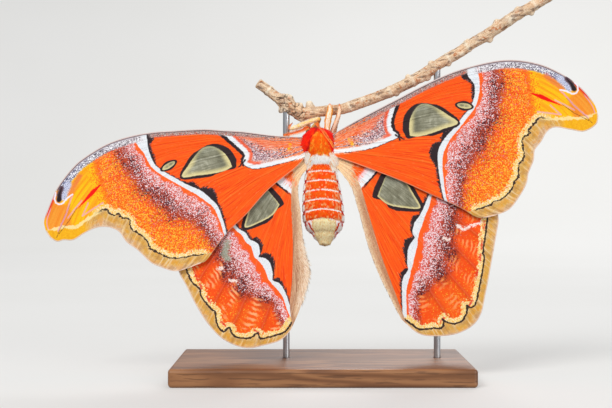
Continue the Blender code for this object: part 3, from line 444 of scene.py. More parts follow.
def new_node(tree, kind, inputs=(), output=0, **settings):
    """The output of a new node, whose inputs are given by place or name. All outputs if None."""
    made = tree.nodes.new(kind)
    for key, setting in settings.items():
        setattr(made, key, setting)
    for key, given in dict(inputs).items():
        if isinstance(given, Value):
            tree.links.new(given.socket, made.inputs[key])
        else:
            made.inputs[key].default_value = given
    return [Value(out) for out in made.outputs] if output is None else Value(made.outputs[output])


class Value:
    """A number, vector or colour that a material's nodes work out for each spot of a surface."""

    def __init__(self, socket):
        self.socket = socket

    def node(self, kind, inputs, output=0, **settings):
        """The output of a new node in the same graph."""
        return new_node(self.socket.id_data, kind, inputs, output, **settings)

    def math(self, operation, *others, clamp=False):
        """One step of arithmetic."""
        return self.node("ShaderNodeMath", enumerate((self, *others)), operation=operation,
                         use_clamp=clamp)

    def __add__(self, other):
        return self.math("ADD", other)

    def __sub__(self, other):
        return self.math("SUBTRACT", other)

    def __rsub__(self, other):
        return self.node("ShaderNodeMath", {0: other, 1: self}, operation="SUBTRACT")

    def __mul__(self, other):
        return self.math("MULTIPLY", other)

    def least(self, other):
        """The smaller of two numbers."""
        return self.math("MINIMUM", other)

    def most(self, other):
        """The larger of two numbers."""
        return self.math("MAXIMUM", other)

    def spread(self, low, high, start=0.0, end=1.0, **settings):
        """Start where the number is at low, end where it is at high, and even between."""
        return self.node("ShaderNodeMapRange", {0: self, 1: low, 2: high, 3: start, 4: end}, **settings)

    def below(self, edge, soft=0.3):
        """1 where the number is below an edge, 0 above it, with a soft step between."""
        return self.spread(edge - soft / 2, edge + soft / 2, 1.0, 0.0, interpolation_type="SMOOTHSTEP")

    def above(self, edge, soft=0.3):
        """1 where the number is above an edge."""
        return 1.0 - self.below(edge, soft)

    def ramp(self, stops):
        """A colour for the number, from stops of (number, linear colour)."""
        low, high = stops[0][0], stops[-1][0]
        made = self.node("ShaderNodeValToRGB", {0: self.spread(low, high)})
        elements = made.socket.node.color_ramp.elements
        while len(elements) < len(stops):
            elements.new(0.5)
        for element, (spot, colour) in zip(elements, stops):
            element.position = (spot - low) / (high - low)
            element.color = colour
        return made

    def shades(self, stops):
        """A ramp whose stops are screen colours."""
        return self.ramp([(spot, rgba(colour)) for spot, colour in stops])

    def mixed(self, over, mask, blend="MIX"):
        """This colour with another one over it where the mask says."""
        over = over if isinstance(over, Value) else rgba(over)
        return self.node("ShaderNodeMix", {0: mask, 6: self, 7: over}, 2, data_type="RGBA",
                         blend_type=blend)

    def split(self, kind="XYZ"):
        """The three numbers of a vector or a colour."""
        return self.node(f"ShaderNodeSeparate{kind}", {0: self}, None)

    def vector_math(self, operation, other, output=0):
        """One step of arithmetic with vectors."""
        return self.node("ShaderNodeVectorMath", {0: self, 1: other}, output, operation=operation)

    def noise(self, scale, detail=2.0, roughness=0.5):
        """Cloudy noise from 0 to 1."""
        return self.node("ShaderNodeTexNoise", {"Vector": self, "Scale": scale, "Detail": detail,
                                                "Roughness": roughness}, "Fac")

    def fibres(self, factors, detail=2.0, roughness=0.5):
        """Noise with its own scale along each axis."""
        return self.vector_math("MULTIPLY", factors).noise(1.0, detail, roughness)

    def grains(self, scale):
        """Three independent random numbers for each cell of a flat grain."""
        cells = self.node("ShaderNodeTexVoronoi", {"Vector": self, "Scale": scale}, "Color",
                          voronoi_dimensions="2D")
        return cells.split("Color")

    def stroke(self, points):
        """The distance of a point of the wing's frame from a drawn line."""
        best = None
        for start, end in zip(points, points[1:]):
            start, end = Vector((*start, 0)), Vector((*end, 0))
            way = (end - start).normalized()
            rel = self.vector_math("SUBTRACT", start)
            part = rel.vector_math("DOT_PRODUCT", way, "Value")
            part = self.node("ShaderNodeClamp", {0: part, 1: 0.0, 2: (end - start).length})
            foot = self.node("ShaderNodeVectorMath", {0: way, 3: part}, operation="SCALE")
            gap = rel.vector_math("DISTANCE", foot, "Value")
            best = gap if best is None else best.least(gap)
        return best

    def nearest(self, strokes):
        """The distance from the nearest of several drawn lines."""
        best = self.stroke(strokes[0])
        for points in strokes[1:]:
            best = best.least(self.stroke(points))
        return best


class Paint:
    """One material, painted in layers from the bottom up."""

    def __init__(self, name, roughness, **shader):
        self.material = bpy.data.materials.new(name)
        self.material.use_nodes = True
        self.material.use_backface_culling = False
        self.tree = self.material.node_tree
        self.shader = self.tree.nodes["Principled BSDF"]
        for key, value in {"Roughness": roughness, **shader}.items():
            self.shader.inputs[key.replace("_", " ")].default_value = value

    def place(self):
        """Where a spot lies in the piece's own axes."""
        return new_node(self.tree, "ShaderNodeTexCoord", output="Object")

    def stored(self, key, output="Fac"):
        """What is stored for each vertex: a number as Fac, a Vector or a Color."""
        return new_node(self.tree, "ShaderNodeAttribute", output=output, attribute_name=key)

    def over(self, colour, mask):
        """Paints a colour over what is there, where the mask says."""
        self.colour = self.colour.mixed(colour, mask)

    def sprinkle(self, colour, random, density):
        """Paints single grains, as many as the density says."""
        self.over(colour, (density - random).math("MULTIPLY", 6.0, clamp=True))

    def link(self, value, name):
        """Gives the shader a value that changes over the surface."""
        self.tree.links.new(value.socket, self.shader.inputs[name])

    def bump(self, height, strength, distance):
        """Fine relief from a height."""
        self.link(height.node("ShaderNodeBump", {"Strength": strength, "Distance": distance,
                                                 "Height": height}), "Normal")

    def done(self):
        """Hands the colour to the shader and gives the material."""
        self.link(self.colour, "Base Color")
        return self.material


# ------------------------------------------------------------------ wings: geometry


def placed(points, kind, side):
    """Points of a wing's own frame, in millimetres, set at its root in world x and z."""
    pose = WING_POSE[kind, side]
    points = np.array(points, float) / 1000
    long, across = rotation(WING_AXIS[kind]).T
    out = points @ long / WING_SPAN
    chord = points @ across * (pose["chord"] + pose["taper"] * out) + pose["bend"] * out ** 2
    points = np.outer(points @ long * pose["span"], long) + np.outer(chord, across)
    return points @ rotation(pose["turn"]).T * MIRROR[side] + pose["root"]


def unplaced(points, kind, side):
    """World x and z of a wing's points turned back to its own frame, in millimetres."""
    pose = WING_POSE[kind, side]
    points = (points - np.array(pose["root"])) * MIRROR[side] @ rotation(pose["turn"])
    long, across = rotation(WING_AXIS[kind]).T
    reach = points @ long / pose["span"]
    out = reach / WING_SPAN
    chord = (points @ across - pose["bend"] * out ** 2) / (pose["chord"] + pose["taper"] * out)
    return 1000 * (np.outer(reach, long) + np.outer(chord, across))


def sheet_y(side, x, z):
    """Depth of the curved plane in which a side's wings lie."""
    out = (x - WING_ROOT[0]) / WING_SPAN
    return WING_PLANE_Y + TIP_DROOP * out ** 2 + WING_TILT[side] * (z - WING_ROOT[1])


def wing_edges(kind, side):
    """The four edges of a wing as dense paths: root, front, outer and inner."""
    low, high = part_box(f"{kind}wing_{side}")
    root_x = low.x - ROOT_SUNK if side == "right" else high.x + ROOT_SUNK
    root = columns(root_x, np.linspace(*WING_POSE[kind, side]["edge"], ROOT_POINTS))
    front, outer, inner = (placed(points, kind, side) for points in OUTLINE[kind, side])
    corners = [root[0], *front], [front[-1], *outer], [root[-1], *inner, outer[-1]]
    return root, *(smooth_path(points, EDGE_STEPS) for points in corners)


def wing_grid(edges, u, v):
    """World x and z of a wing at u (root to margin) and v (front to rear), a Coons patch."""
    root, front, outer, inner = edges
    u_row, v_row = u[:, None, None], v[:, :, None]
    corners = ((1 - u_row) * ((1 - v_row) * root[0] + v_row * root[-1])
               + u_row * ((1 - v_row) * outer[0] + v_row * outer[-1]))
    return ((1 - v_row) * along(front, u)[:, None, :] + v_row * along(inner, u)[:, None, :]
            + (1 - u_row) * along(root, v) + u_row * along(outer, v) - corners)


def skin_lines(kind, across):
    """v of each line of the skin at each station, its height on a vein, and its bulge between two."""
    veins = VEINS[kind]
    level = np.ones_like(across)
    front = np.minimum(FRONT_VEIN / across, veins[0] / 4)
    middles = [front, *(vein * level for vein in veins)]
    halves = [front * 0.9]
    for before, vein, after in zip((0.0, *veins), veins, (*veins[1:], 1.0)):
        widest = 0.3 * min(vein - before, after - vein)
        halves.append(np.minimum(VEIN_WIDTH * 0.45 / across, widest))
    lines = [(0 * level, 0.0, 0.0)]
    for k, (middle, half) in enumerate(zip(middles, halves)):
        lines += [(middle + part * half, height, 0.0) for part, height in RIDGE_PROFILE]
        start = middle + half
        end = middles[k + 1] - halves[k + 1] if k + 1 < len(middles) else level
        count = max(1, round(float(np.max((end - start) * across)) / SKIN_STEP))
        for part in np.arange(1, count) / count:
            lines.append((start + (end - start) * part, 0.0, math.sin(math.pi * part)))
    lines.append((level, 0.0, 0.0))
    rows, raised, bulge = zip(*lines)
    return np.stack(rows, axis=1), np.array(raised), np.array(bulge)


def window_fields(kind, spots):
    """Distance from a window's edge, negative inside, and from the outer edge of its border."""
    outline = smooth_path([*WINDOW[kind], WINDOW[kind][0]], CURVE_STEPS)
    middle = np.mean(WINDOW[kind], axis=0)
    turn = (outline - middle) @ rotation(90)
    clockwise = np.sum(np.diff(outline, axis=0) * turn[:-1]) > 0
    signed = offset_from(spots, outline)[0] * (1 if clockwise else -1)
    angle = np.degrees(np.arctan2(*(spots - middle).T[::-1])) % 360
    return signed, signed - np.interp(angle, *WINDOW_BORDER[kind])


def small_window_field(spots):
    """Distance from the edge of the small window of the forewing, negative inside."""
    rel = (spots - np.array(SMALL_WINDOW["middle"])) @ rotation(SMALL_WINDOW["turn"])
    size = np.linalg.norm(rel / np.array(SMALL_WINDOW["half"]), axis=1)
    return (size - 1) * np.linalg.norm(rel, axis=1) / np.maximum(size, 1e-6)


def pattern_fields(kind, side, spots, edges):
    """Numbers from which a wing's colours are made, for spots in its own frame in millimetres."""
    wing = kind, side
    band, part = offset_from(spots, smooth_path(BAND[wing], BAND_STEPS))
    half = np.interp(part, *BAND_HALF[kind])
    window, border = window_fields(kind, spots)
    base = gap_from(spots, BASE_BAND[wing], CURVE_STEPS)
    front, outer, inner = (np.abs(offset_from(spots, unplaced(edge, *wing))[0]) for edge in edges[1:])
    fields = {"band": band, "band_rim": np.abs(band) - half,
              "zone": (band - half) * np.interp(spots[:, 1], *ZONE_PACE[kind]),
              "dark": np.interp(part, *BAND_DARK[kind]) + half + band, "window": window,
              "border": border, "wave": gap_from(spots, WAVE[wing], WAVE_STEPS), "base": base,
              "front": front, "rim": np.minimum(outer, front), "inner": inner}
    if kind == "hind":
        fold = -gap_from(spots, FOLD_LINE[side], CURVE_STEPS)
        beyond = np.maximum(fold, 0)
        return {**fields, "fold": fold, "fold_part": beyond / (beyond + inner + 0.01)}
    return {**fields, "small": small_window_field(spots), "apex": gap_from(spots, APEX_EDGE, CURVE_STEPS),
            "tip": gap_from(spots, TIP_EDGE, CURVE_STEPS),
            "depth": front / (front + np.maximum(-base, 0) + 0.01)}


def sheet_triangles(rows, count):
    """Triangles of a closed sheet of two like grids of points, joined along their rim."""
    row, column = np.meshgrid(np.arange(rows - 1), np.arange(count - 1), indexing="ij")
    a = (row * count + column).ravel()
    b, c, d = a + 1, a + count + 1, a + count
    face = np.concatenate([columns(a, b, c), columns(a, c, d)])
    behind = rows * count
    rim = np.concatenate([np.arange(count), np.arange(1, rows) * count + count - 1,
                          (rows - 1) * count + np.arange(count - 2, -1, -1),
                          np.arange(rows - 2, 0, -1) * count])
    after = np.roll(rim, -1)
    return np.concatenate([face, behind + face[:, ::-1], columns(rim, behind + after, after),
                           columns(rim, behind + rim, behind + after)])


def make_wing(kind, side, material):
    """A wing's skin: a thin sheet with veins, fluted membrane, sunk windows and wrinkled margin."""
    edges = wing_edges(kind, side)
    u = 1 - (1 - np.linspace(0, 1, SKIN_ROWS[kind])) ** ROW_CROWDING
    even = np.tile(np.linspace(0, 1, 9), (len(u), 1))
    across = np.linalg.norm(np.diff(wing_grid(edges, u, even), axis=1), axis=2).sum(axis=1)
    v, raised, bulge = skin_lines(kind, across)
    rows, count = v.shape
    u, raised, bulge = np.repeat(u, count), np.tile(raised, rows), np.tile(bulge, rows)
    flat = wing_grid(edges, u[::count], v).reshape(-1, 2)
    v = v.ravel()
    spots = unplaced(flat, kind, side)
    fields = pattern_fields(kind, side, spots, edges)
    forward = math.copysign(1, WING_LAYER_Y[kind])
    margin = v * np.linalg.norm(np.diff(edges[2], axis=0), axis=1).sum() * 1000
    waves = np.sin(2 * math.pi * margin / WRINKLE_PITCH + 2 * np.sin(margin / 4.3))
    middle = sheet_y(side, *flat.T) + WING_LAYER_Y[kind] + forward * FLUTE * bulge * u
    middle += WRINKLE * rise(fields["wave"], 0.0, 3.5) * waves
    half = (SKIN_HALF * (RIM_HALF + (1 - RIM_HALF) * rise(fields["rim"], 0.0, 1.2))
            + RIDGE_HEIGHT * raised * (1 - RIDGE_FADE * u)
            - PANE_SUNK * rise(-fields["window"], 0.0, 0.5))
    points = [columns(flat[:, 0], middle + way * half, flat[:, 1]) for way in (-1, 1)]
    triangles = sheet_triangles(rows, count)[:, ::1 if side == "right" else -1]
    low, high = spots.min(axis=0), spots.max(axis=0)
    chart = (spots - low) / (high - low) * (0.98, 0.48)
    fields |= {"spot": columns(*spots.T, 0.0), "lie": columns(u, v, 0.0), "ridge": raised,
               "between": bulge, "left": np.full(len(u), float(side == "left"))}
    attributes = {key: np.concatenate([values, values]) for key, values in fields.items()}
    attributes["under"] = np.repeat((0.0, 1.0), len(u))
    skin = mesh_object(f"wing_skin_{kind}_{side}", np.concatenate(points), triangles, material,
                       "wing_scales", np.concatenate([chart + (0.01, 0.01), chart + (0.01, 0.51)]),
                       attributes)
    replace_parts(skin, f"{kind}wing_{side}")


# ------------------------------------------------------------------ wings: layers of colour


def field_colours(p):
    """The orange field inside the white band and the speckled field outside it."""
    p.colour = p.streaks.shades(SHADES["field"])
    p.over((255, 146, 60), p.ridge * 0.22)
    p.over((255, 160, 96), p.lie.fibres((30.0, 260.0, 1.0), 1.0).above(0.71, 0.05) * 0.7)
    inside = p.colour
    clouded = p.zone + (p.spot.noise(0.17, 3.0, 0.55) - 0.5) * 8.0
    clouded = clouded.least(p.zone * 1.8).most(p.zone * 0.6)
    shares = clouded.ramp([(at, (*share, 1.0)) for at, share in ZONE[p.kind]])
    pale, dark, gold = shares.split("Color")
    p.colour = clouded.shades(SHADES[p.kind])
    p.sprinkle((255, 192, 56), p.green, gold)
    p.sprinkle((234, 60, 8), p.red, gold * 0.6)
    if p.fore:
        gather = p.spot.noise(0.13).above(0.50, 0.22)
    else:
        gather = (p.spot.nearest(HIND_CLOUDS) + p.ragged * 5.0).below(3.4, 3.4)
        p.over((150, 62, 34), gather * p.zone.above(4.0, 3.0) * 0.45)
    p.sprinkle((80, 26, 36), p.blue, dark * (gather * 0.75 + 0.42))
    p.sprinkle(PINK_WHITE, p.red, pale)
    p.over((252, 150, 120), p.ridge * 0.22)
    p.colour = inside.mixed(p.colour, p.band.above(0.0, 0.4))
    p.over((250, 170, 130), p.stored("inner").below(0.35) * 0.7)


def flames(p):
    """Pale bars in columns between the veins of the hindwing's outer field, and its pale marks."""
    left = p.stored("left")
    warp = p.spot.noise(0.25) * 9.0
    rows = (p.lie.split()[0] * (2 * math.pi * FLAME_ROWS) + warp).math("SINE")
    bars = (rows.above(0.25, 1.6) * p.between.above(0.70, 0.6) * p.spot.noise(0.20, 1.0).above(0.47, 0.16)
            * p.zone.above(13.0, 4.0) * p.wave.below(-2.6, 1.2))
    p.over((255, 144, 60), bars * (left * 0.15 + 0.75))
    p.over((255, 204, 158), bars * p.between.above(0.86) * (left * 0.3 + 0.2))
    p.over((206, 60, 16), p.between.below(0.22) * p.zone.above(11.0, 5.0) * 0.4)
    worn = p.spot.stroke(WORN_PATCH) + p.ragged * 4.0
    p.over((156, 166, 146), left * worn.below(1.5, 1.6) * 0.8)
    for side, here in (("right", 1.0 - left), ("left", left)):
        mark = p.spot.nearest(PALE_MARKS[side]) + ((p.green - 0.5) * 0.9 + p.ragged * 3.0)
        p.over((252, 230, 220), mark.below(0.55, 0.6) * here)


def apex_colours(p):
    """The yellow apex of the forewing and its orange tip."""
    inside, tip = p.wave.below(0.0), p.stored("tip")
    apex = p.stored("apex") + p.ragged * 6.0
    shine = p.lie.fibres((5.0, 60.0, 1.0))
    p.over(YELLOW, apex.above(0.0, 2.4) * inside)
    p.sprinkle((250, 112, 8), p.green, apex.above(-2.0, 3.0) * apex.below(3.0, 6.0) * inside * 0.5)
    p.over((255, 158, 6), shine.above(0.52, 0.2) * apex.above(3.0, 3.0) * inside)
    p.over((244, 140, 32), tip.above(0.0, 2.5) * inside)
    p.over((252, 176, 62), tip.above(1.0, 2.5) * shine.above(0.50, 0.25) * inside * 0.5)
    p.over((226, 44, 22), tip.above(-1.0, 1.5) * p.front.below(1.3, 1.4) * inside * p.y.above(23.0, 3.0))
    p.over((255, 180, 14), tip.above(4.0, 2.0) * p.rim.below(1.1, 0.4) * p.y.below(22.0, 3.0))
    p.over(LILAC, p.rim.above(1.0) * p.rim.below(1.5) * tip.above(4.0, 2.0) * 0.7)


def fore_base(p):
    """The speckled base of the forewing inside its white line, with a yellow patch and a star."""
    base = p.stored("base") + p.ragged * 1.3
    depth = p.stored("depth") + p.ragged * 0.35
    hair = p.lie.fibres((22.0, 140.0, 1.0))
    inside = base.below(0.0)
    p.over(depth.shades(SHADES["base"]), inside)
    p.over((250, 190, 160), inside * hair.above(0.54, 0.12) * depth.below(0.6))
    p.over((226, 62, 14), inside * hair.below(0.44, 0.1) * depth.below(0.5))
    grey = inside * depth.above(0.44, 0.16) * depth.below(0.84, 0.12)
    p.sprinkle((84, 56, 66), p.blue, grey * 0.42)
    p.sprinkle((240, 224, 226), p.red, grey * 0.34)
    stripe = base.above(-3.4, 0.6) * base.below(-1.7, 0.5) * p.x.above(19.5, 3.0) * p.front.above(2.0, 1.0)
    p.over((246, 88, 26), stripe * 0.85)
    p.over(YELLOW, (p.spot.stroke(YELLOW_PATCH) + p.ragged * 2.2).below(0.7, 0.9))
    edge = base - p.y.spread(5.0, 10.0, 0.35, 1.5)
    p.over(BLACK, base.above(-0.1) * edge.below(0.0, 0.4))
    p.over(WHITE, base.above(-1.9, 0.9) * base.below(0.0))
    p.over(BLACK, (p.spot.nearest(BASE_TICK) + p.ragged * 1.2).below(0.40, 0.4))


def hind_base(p):
    """The feathered white line round the hindwing's base, with its black edge."""
    base = p.stored("base") + p.ragged * 1.3
    edge = base + (p.lie.fibres((18.0, 150.0, 1.0)) - 0.5) * 2.6
    p.over(BLACK, base.above(-0.1) * base.below(0.95, 0.5) * p.x.above(8.5, 3.0))
    p.over(PINK_WHITE, edge.above(-4.2, 1.6) * base.below(0.0))
    p.over(WHITE, edge.above(-2.6, 1.2) * base.below(0.0))


def margin_colours(p):
    """Cream border, dark wavy line and tan margin, with painted light and shade on its wrinkles."""
    border = (p.wave + p.ragged * 6.0).above(-2.3 if p.fore else -2.4, 0.6) * p.wave.below(0.0, 0.2)
    if p.fore:
        border = border * p.stored("apex").below(6.0, 7.0)
    p.over(CREAM_YELLOW, border)
    p.sprinkle((244, 150, 40), p.green, border * 0.22)
    p.sprinkle((255, 238, 196), p.red, border * 0.35)
    if not p.fore:
        dots = p.spot.nearest(RED_DOTS) + p.ragged * 2.6
        p.over((232, 58, 36), dots.below(0.45, 0.7) * p.wave.below(-0.2, 0.2) * 0.9)
    outside = p.wave.above(0.0, 0.15)
    p.over((p.wave + p.ragged * 2.6).shades(SHADES["margin"]), outside)
    # painted light and shade of the margin's wrinkles: darker and lighter streaks along them
    fold_light_and_shade = p.lie.fibres((4.0, 46.0, 1.0), 4.0, 0.6)
    blotches = p.spot.noise(0.33, 3.0, 0.6)
    p.over((232, 158, 48), outside * blotches.above(0.54, 0.12) * 0.55)
    p.over((194, 140, 84), outside * blotches.below(0.44, 0.12) * 0.5)
    p.over((180, 124, 66), outside * fold_light_and_shade.below(0.42, 0.14) * 0.55)
    p.over((250, 224, 178), outside * fold_light_and_shade.above(0.58, 0.14) * 0.6)
    if p.fore:
        p.over(p.ragged.shades(SHADES["gold"]), outside * p.x.above(98.0, 5.0))
    p.over((240, 208, 184), outside * p.rim.below(0.45, 0.5))
    line = (p.wave + p.ragged * 0.7).math("ABSOLUTE").below(0.38 if p.fore else 0.42, 0.2)
    if p.fore:
        pale = p.wave.above(-0.5, 0.4) * p.wave.below(0.9, 0.5) * p.x.above(90.0, 4.0)
        p.over((255, 232, 166), pale * 0.8)
        line = line * p.x.below(91.0, 5.0)
    p.over((60, 42, 36), line)


def band_colours(p):
    """The white band with its black inner edge."""
    rough, dark = p.ragged * 1.9, p.stored("dark")
    teeth = p.lie.fibres((16.0, 130.0, 1.0), 2.0, 0.7) - 0.5
    black = (rough + teeth * 3.2 - dark).below(0.0, 0.4) * p.band.below(0.0, 0.1) * p.wave.below(-2.0)
    p.over(BLACK, black)
    p.sprinkle((140, 96, 96), p.red, black * dark.below(0.9, 0.8) * 0.25)
    white = (p.stored("band_rim") + rough * 0.35).below(0.0) * p.wave.below(-1.0)
    p.over(WHITE, white)
    p.sprinkle((206, 216, 226), p.fine_blue, white * 0.3)


def hind_front(p):
    """A pale line along the hindwing's front edge."""
    p.over((240, 150, 96), (p.front + p.ragged * 1.2).below(0.9, 0.6))


def fore_front(p):
    """The grey strip along the forewing's front edge, cooler beyond the white band."""
    front = p.front + p.ragged * 1.2
    near = front.below(2.5, 0.9) * p.x.below(56.5, 2.0)
    p.over(COSTA_GREY, near)
    p.sprinkle((206, 92, 60), p.green, near * front.above(1.2, 1.4) * 0.5)
    p.sprinkle((78, 60, 62), p.fine_blue, near * 0.34)
    p.sprinkle((226, 206, 200), p.fine_red, near * 0.32)
    far = front.below(3.7, 1.0) * p.x.above(60.5, 3.5) * p.x.below(102.0, 3.0)
    p.over(p.x.shades(SHADES["front"]), far)
    p.sprinkle((40, 28, 42), p.blue, far * 0.38)
    p.sprinkle((255, 254, 255), p.red, far * 0.40)
    p.over((188, 176, 184), far * p.front.below(1.1, 0.4) * p.x.below(96.0, 6.0))
    p.over((96, 72, 74), p.front.above(0.35, 0.2) * p.front.below(0.8) * p.x.below(103.0))
    p.over((214, 192, 186), p.front.below(0.45, 0.2) * p.x.below(112.0, 3.0))


def window_colours(p):
    """The bare windows of glossy membrane with their pale rims and black borders, and painted reflections
    on the panes.
    """
    panes = [(p.stored("window"), p.stored("border") + p.ragged * 0.6)]
    if p.fore:
        small = p.stored("small")
        panes.append((small, small - SMALL_WINDOW["border"]))
    low, high, rim_width, soft = (4.2, 11.6, 1.2, 2.4) if p.fore else (-21.0, -13.0, 0.25, 0.9)
    upper = p.y + p.x * -0.25
    fine = p.lie.fibres((9.0, 90.0, 1.0))
    # painted reflections: streaks over the pane's olive, and a painted highlight in its upper part
    pane_and_glints = (p.spot.fibres((0.22, 0.12, 1.0), 4.0, 0.55) * 0.6 + fine * 0.4).shades(SHADES["pane_and_glints"])
    pane_and_glints = pane_and_glints.mixed((200, 204, 186), upper.above(high - 3.0, 4.0) * fine.above(0.45, 0.2) * 0.25)
    rim = upper.shades(((low, (222, 208, 150)), (high, (176, 174, 132))))
    inset = upper.below(low + 2.0, 5.0) * rim_width
    for edge, border in panes:
        p.over(BLACK, border.below(0.0) * edge.above(-0.2))
        rough = edge + p.ragged * 0.5
        p.over(rim, rough.below(0.0, 0.25))
        p.over(pane_and_glints, (rough + inset).below(-0.4, soft))
    clear = [edge.below(-0.3, 0.4) for edge, _ in panes]
    p.link(clear[0].most(clear[-1]).spread(0.0, 1.0, SCALE_ROUGHNESS, PANE_ROUGHNESS), "Roughness")


def tip_marks(p):
    """Streaks, eye spot and fine lines at the forewing's tip."""
    wobble = (p.spot.noise(1.2) - 0.5) * 0.6
    for lines, colour, half, soft, share in ((DARK_LINES, (130, 66, 16), 0.16, 0.3, 0.8),
                                             (LILAC_LINES, LILAC, 0.30, 0.6, 0.75)):
        for points in lines:
            p.over(colour, (p.spot.stroke(points) + wobble).below(half, soft) * share)
    reach = p.x.spread(RED_STREAK[0][0], RED_STREAK[-1][0])
    width = (reach * 2.0 + 0.30).least((1.05 - reach) * 1.35)
    p.over(RED, (p.spot.stroke(RED_STREAK) + wobble - width).below(0.0))
    p.over((232, 104, 66), (p.spot.stroke(EYE_SMEAR) + wobble * 2.0).below(1.2, 1.6) * 0.7)
    cloud = p.spot.stroke(EYE_CLOUD) + wobble * 2.0
    p.over((186, 192, 222), cloud.below(1.5, 1.2))
    p.sprinkle((70, 62, 88), p.fine_blue, cloud.below(1.6, 1.0) * 0.26)
    p.sprinkle((250, 250, 255), p.fine_red, cloud.below(1.5, 1.0) * 0.3)
    halo = p.spot.stroke(EYE_SPOT) + wobble
    p.over((92, 66, 76), halo.below(1.15, 0.9))
    p.over((34, 22, 26), (halo - p.y.spread(27.2, 31.4, 0.95, 0.25)).below(0.0, 0.6))
    p.over((244, 238, 250), (p.spot.stroke(EYE_LINE) + wobble).below(0.34, 0.35))


def fold_colours(p):
    """The tan fold along the hindwing's inner edge."""
    rough = p.ragged * 0.25
    fibres = p.lie.fibres((5.0, 170.0, 1.0), 3.0, 0.6)
    fold = (p.stored("fold_part") + rough).shades(SHADES["fold"])
    fold = fold.mixed((246, 214, 178), fibres.above(0.54, 0.1) * 0.45)
    fold = fold.mixed((140, 92, 64), fibres.below(0.44, 0.1) * 0.45)
    fold = fold.mixed((246, 200, 156), p.y.above(-14.0, 10.0) * 0.7)
    p.over(fold, (p.stored("fold") + rough).above(0.0, 0.35))


def scale_relief(p):
    """Scales that catch the light one by one, and a duller underside."""
    p.colour = p.colour.mixed(p.fine_red.shades(SHADES["shimmer"]), 0.35, "OVERLAY")
    p.over(p.colour.mixed((206, 136, 112), 0.5), p.stored("under") * 0.8)
    p.bump(p.fine_green * 0.6 + p.streaks, 0.3, 0.0002)


LAYERS = {"fore": (field_colours, apex_colours, fore_base, margin_colours, band_colours, fore_front,
                   window_colours, tip_marks, scale_relief),
          "hind": (field_colours, flames, hind_base, margin_colours, band_colours, hind_front,
                   window_colours, fold_colours, scale_relief)}


def wing_paint(kind):
    """The pattern of scales on a pair of wings."""
    p = Paint(f"{kind}wing_scales", SCALE_ROUGHNESS, Sheen_Weight=0.05, Specular_IOR_Level=0.2)
    p.kind, p.fore = kind, kind == "fore"
    p.spot, p.lie = p.stored("spot", "Vector"), p.stored("lie", "Vector")
    p.x, p.y, _ = p.spot.split()
    p.band, p.zone, p.front, p.rim = (p.stored(key) for key in ("band", "zone", "front", "rim"))
    p.ridge, p.between = p.stored("ridge"), p.stored("between")
    p.red, p.green, p.blue = p.spot.grains(GRAIN)
    p.fine_red, p.fine_green, p.fine_blue = p.spot.grains(FINE_GRAIN)
    p.ragged = p.spot.noise(0.9, 3.0, 0.6) - 0.5
    p.streaks = p.lie.fibres((7.0, 120.0, 1.0), 3.0, 0.55)
    p.wave = p.stored("wave") + (p.spot.noise(0.62, 2.0, 0.7) - 0.5) * (2.4 if p.fore else 1.4)
    for layer in LAYERS[kind]:
        layer(p)
    return p.done()


# ------------------------------------------------------------------ coat: sizes and colours

COAT_SUNK = {"thorax": 0.00050, "abdomen": 0.00025}     # how far the skin lies inside the solids
REMESH_STEP = 0.00032
NODE_GAP = 0.0003                # between the solids of neighbouring nodes
THORAX_BOTTOM = 0.0953
THORAX_TOP = 0.1114
ABDOMEN_LENGTH = 0.0366
BODY_LENGTH = THORAX_TOP - THORAX_BOTTOM + ABDOMEN_LENGTH
ABDOMEN_CREASES = (0.0038, 0.0082, 0.0127, 0.0171, 0.0218, 0.0264, 0.0312)
RING_TILT = (0.0007, 0.0022)
# Middle of the body in x and y, at parts of its length from the top
BODY_MIDDLE = ((0.0, 0.3, 1.0), (-0.0020, -0.0006, 0.0014), (-0.0030, -0.0026, -0.0010))
ARCH = ((0.0995, 0.1010, 0.1050, 0.1080, 0.1096, 0.1104),    # pale arch of the back: z, left, right
        (-0.0058, -0.0062, -0.0052, -0.0040, -0.0026, -0.0022),
        (0.0034, 0.0040, 0.0026, 0.0008, -0.0010, -0.0016))
COLLAR = (0.0961, 0.0998)        # heights of the white collar in the middle of the back
COLLAR_FALL = 0.0030             # lower by this at the sides
TAIL_START = 0.0262              # the cream tail begins this far down the abdomen
TAIL_SIDES = ((0.024, 0.0275, 0.0315, 0.0335), (0.62, 0.70, 0.86, 1.2))  # its reach round the body
BEAD_PITCH = 0.0046              # of the chain of tufts along the abdomen's sides
EDGE_BLUR = 0.0004               # half the width of the step between two colours of fur
BLOTCH = 0.0015                  # size of the fur's darker and lighter blotches
FUR_WHITE = (255, 254, 250)
THORAX_HAIRS = 17500
ABDOMEN_HAIRS = 19000
SIDE_TUFTS = 2600
BASE_TUFTS = 3400
FACE_HAIRS = 900
PALP_HAIRS = 260
WING_HAIRS = {"fore": 2600, "hind": 2200}
FOLD_HAIRS = 4200
FOLD_REACH = 0.00092             # the hair's reach over the fold, in metres per mm of its width
HEAD_FRONT = (-0.0024, 0.0046, 0.1086)                  # middle of the face
PALP_FOOT = (0.0007, -0.0006, -0.0016)                  # from there, for the right palp
PALP_BEND = ((0, 0, 0), (0.0001, 0.0010, 0.0002), (0.0002, 0.0015, 0.0010), (0.0001, 0.0015, 0.0018))
PALP_RADIUS = 0.00042
PALP_TAPER = ((0, 0.4, 0.85, 1), (0.9, 1.0, 0.6, 0.15))
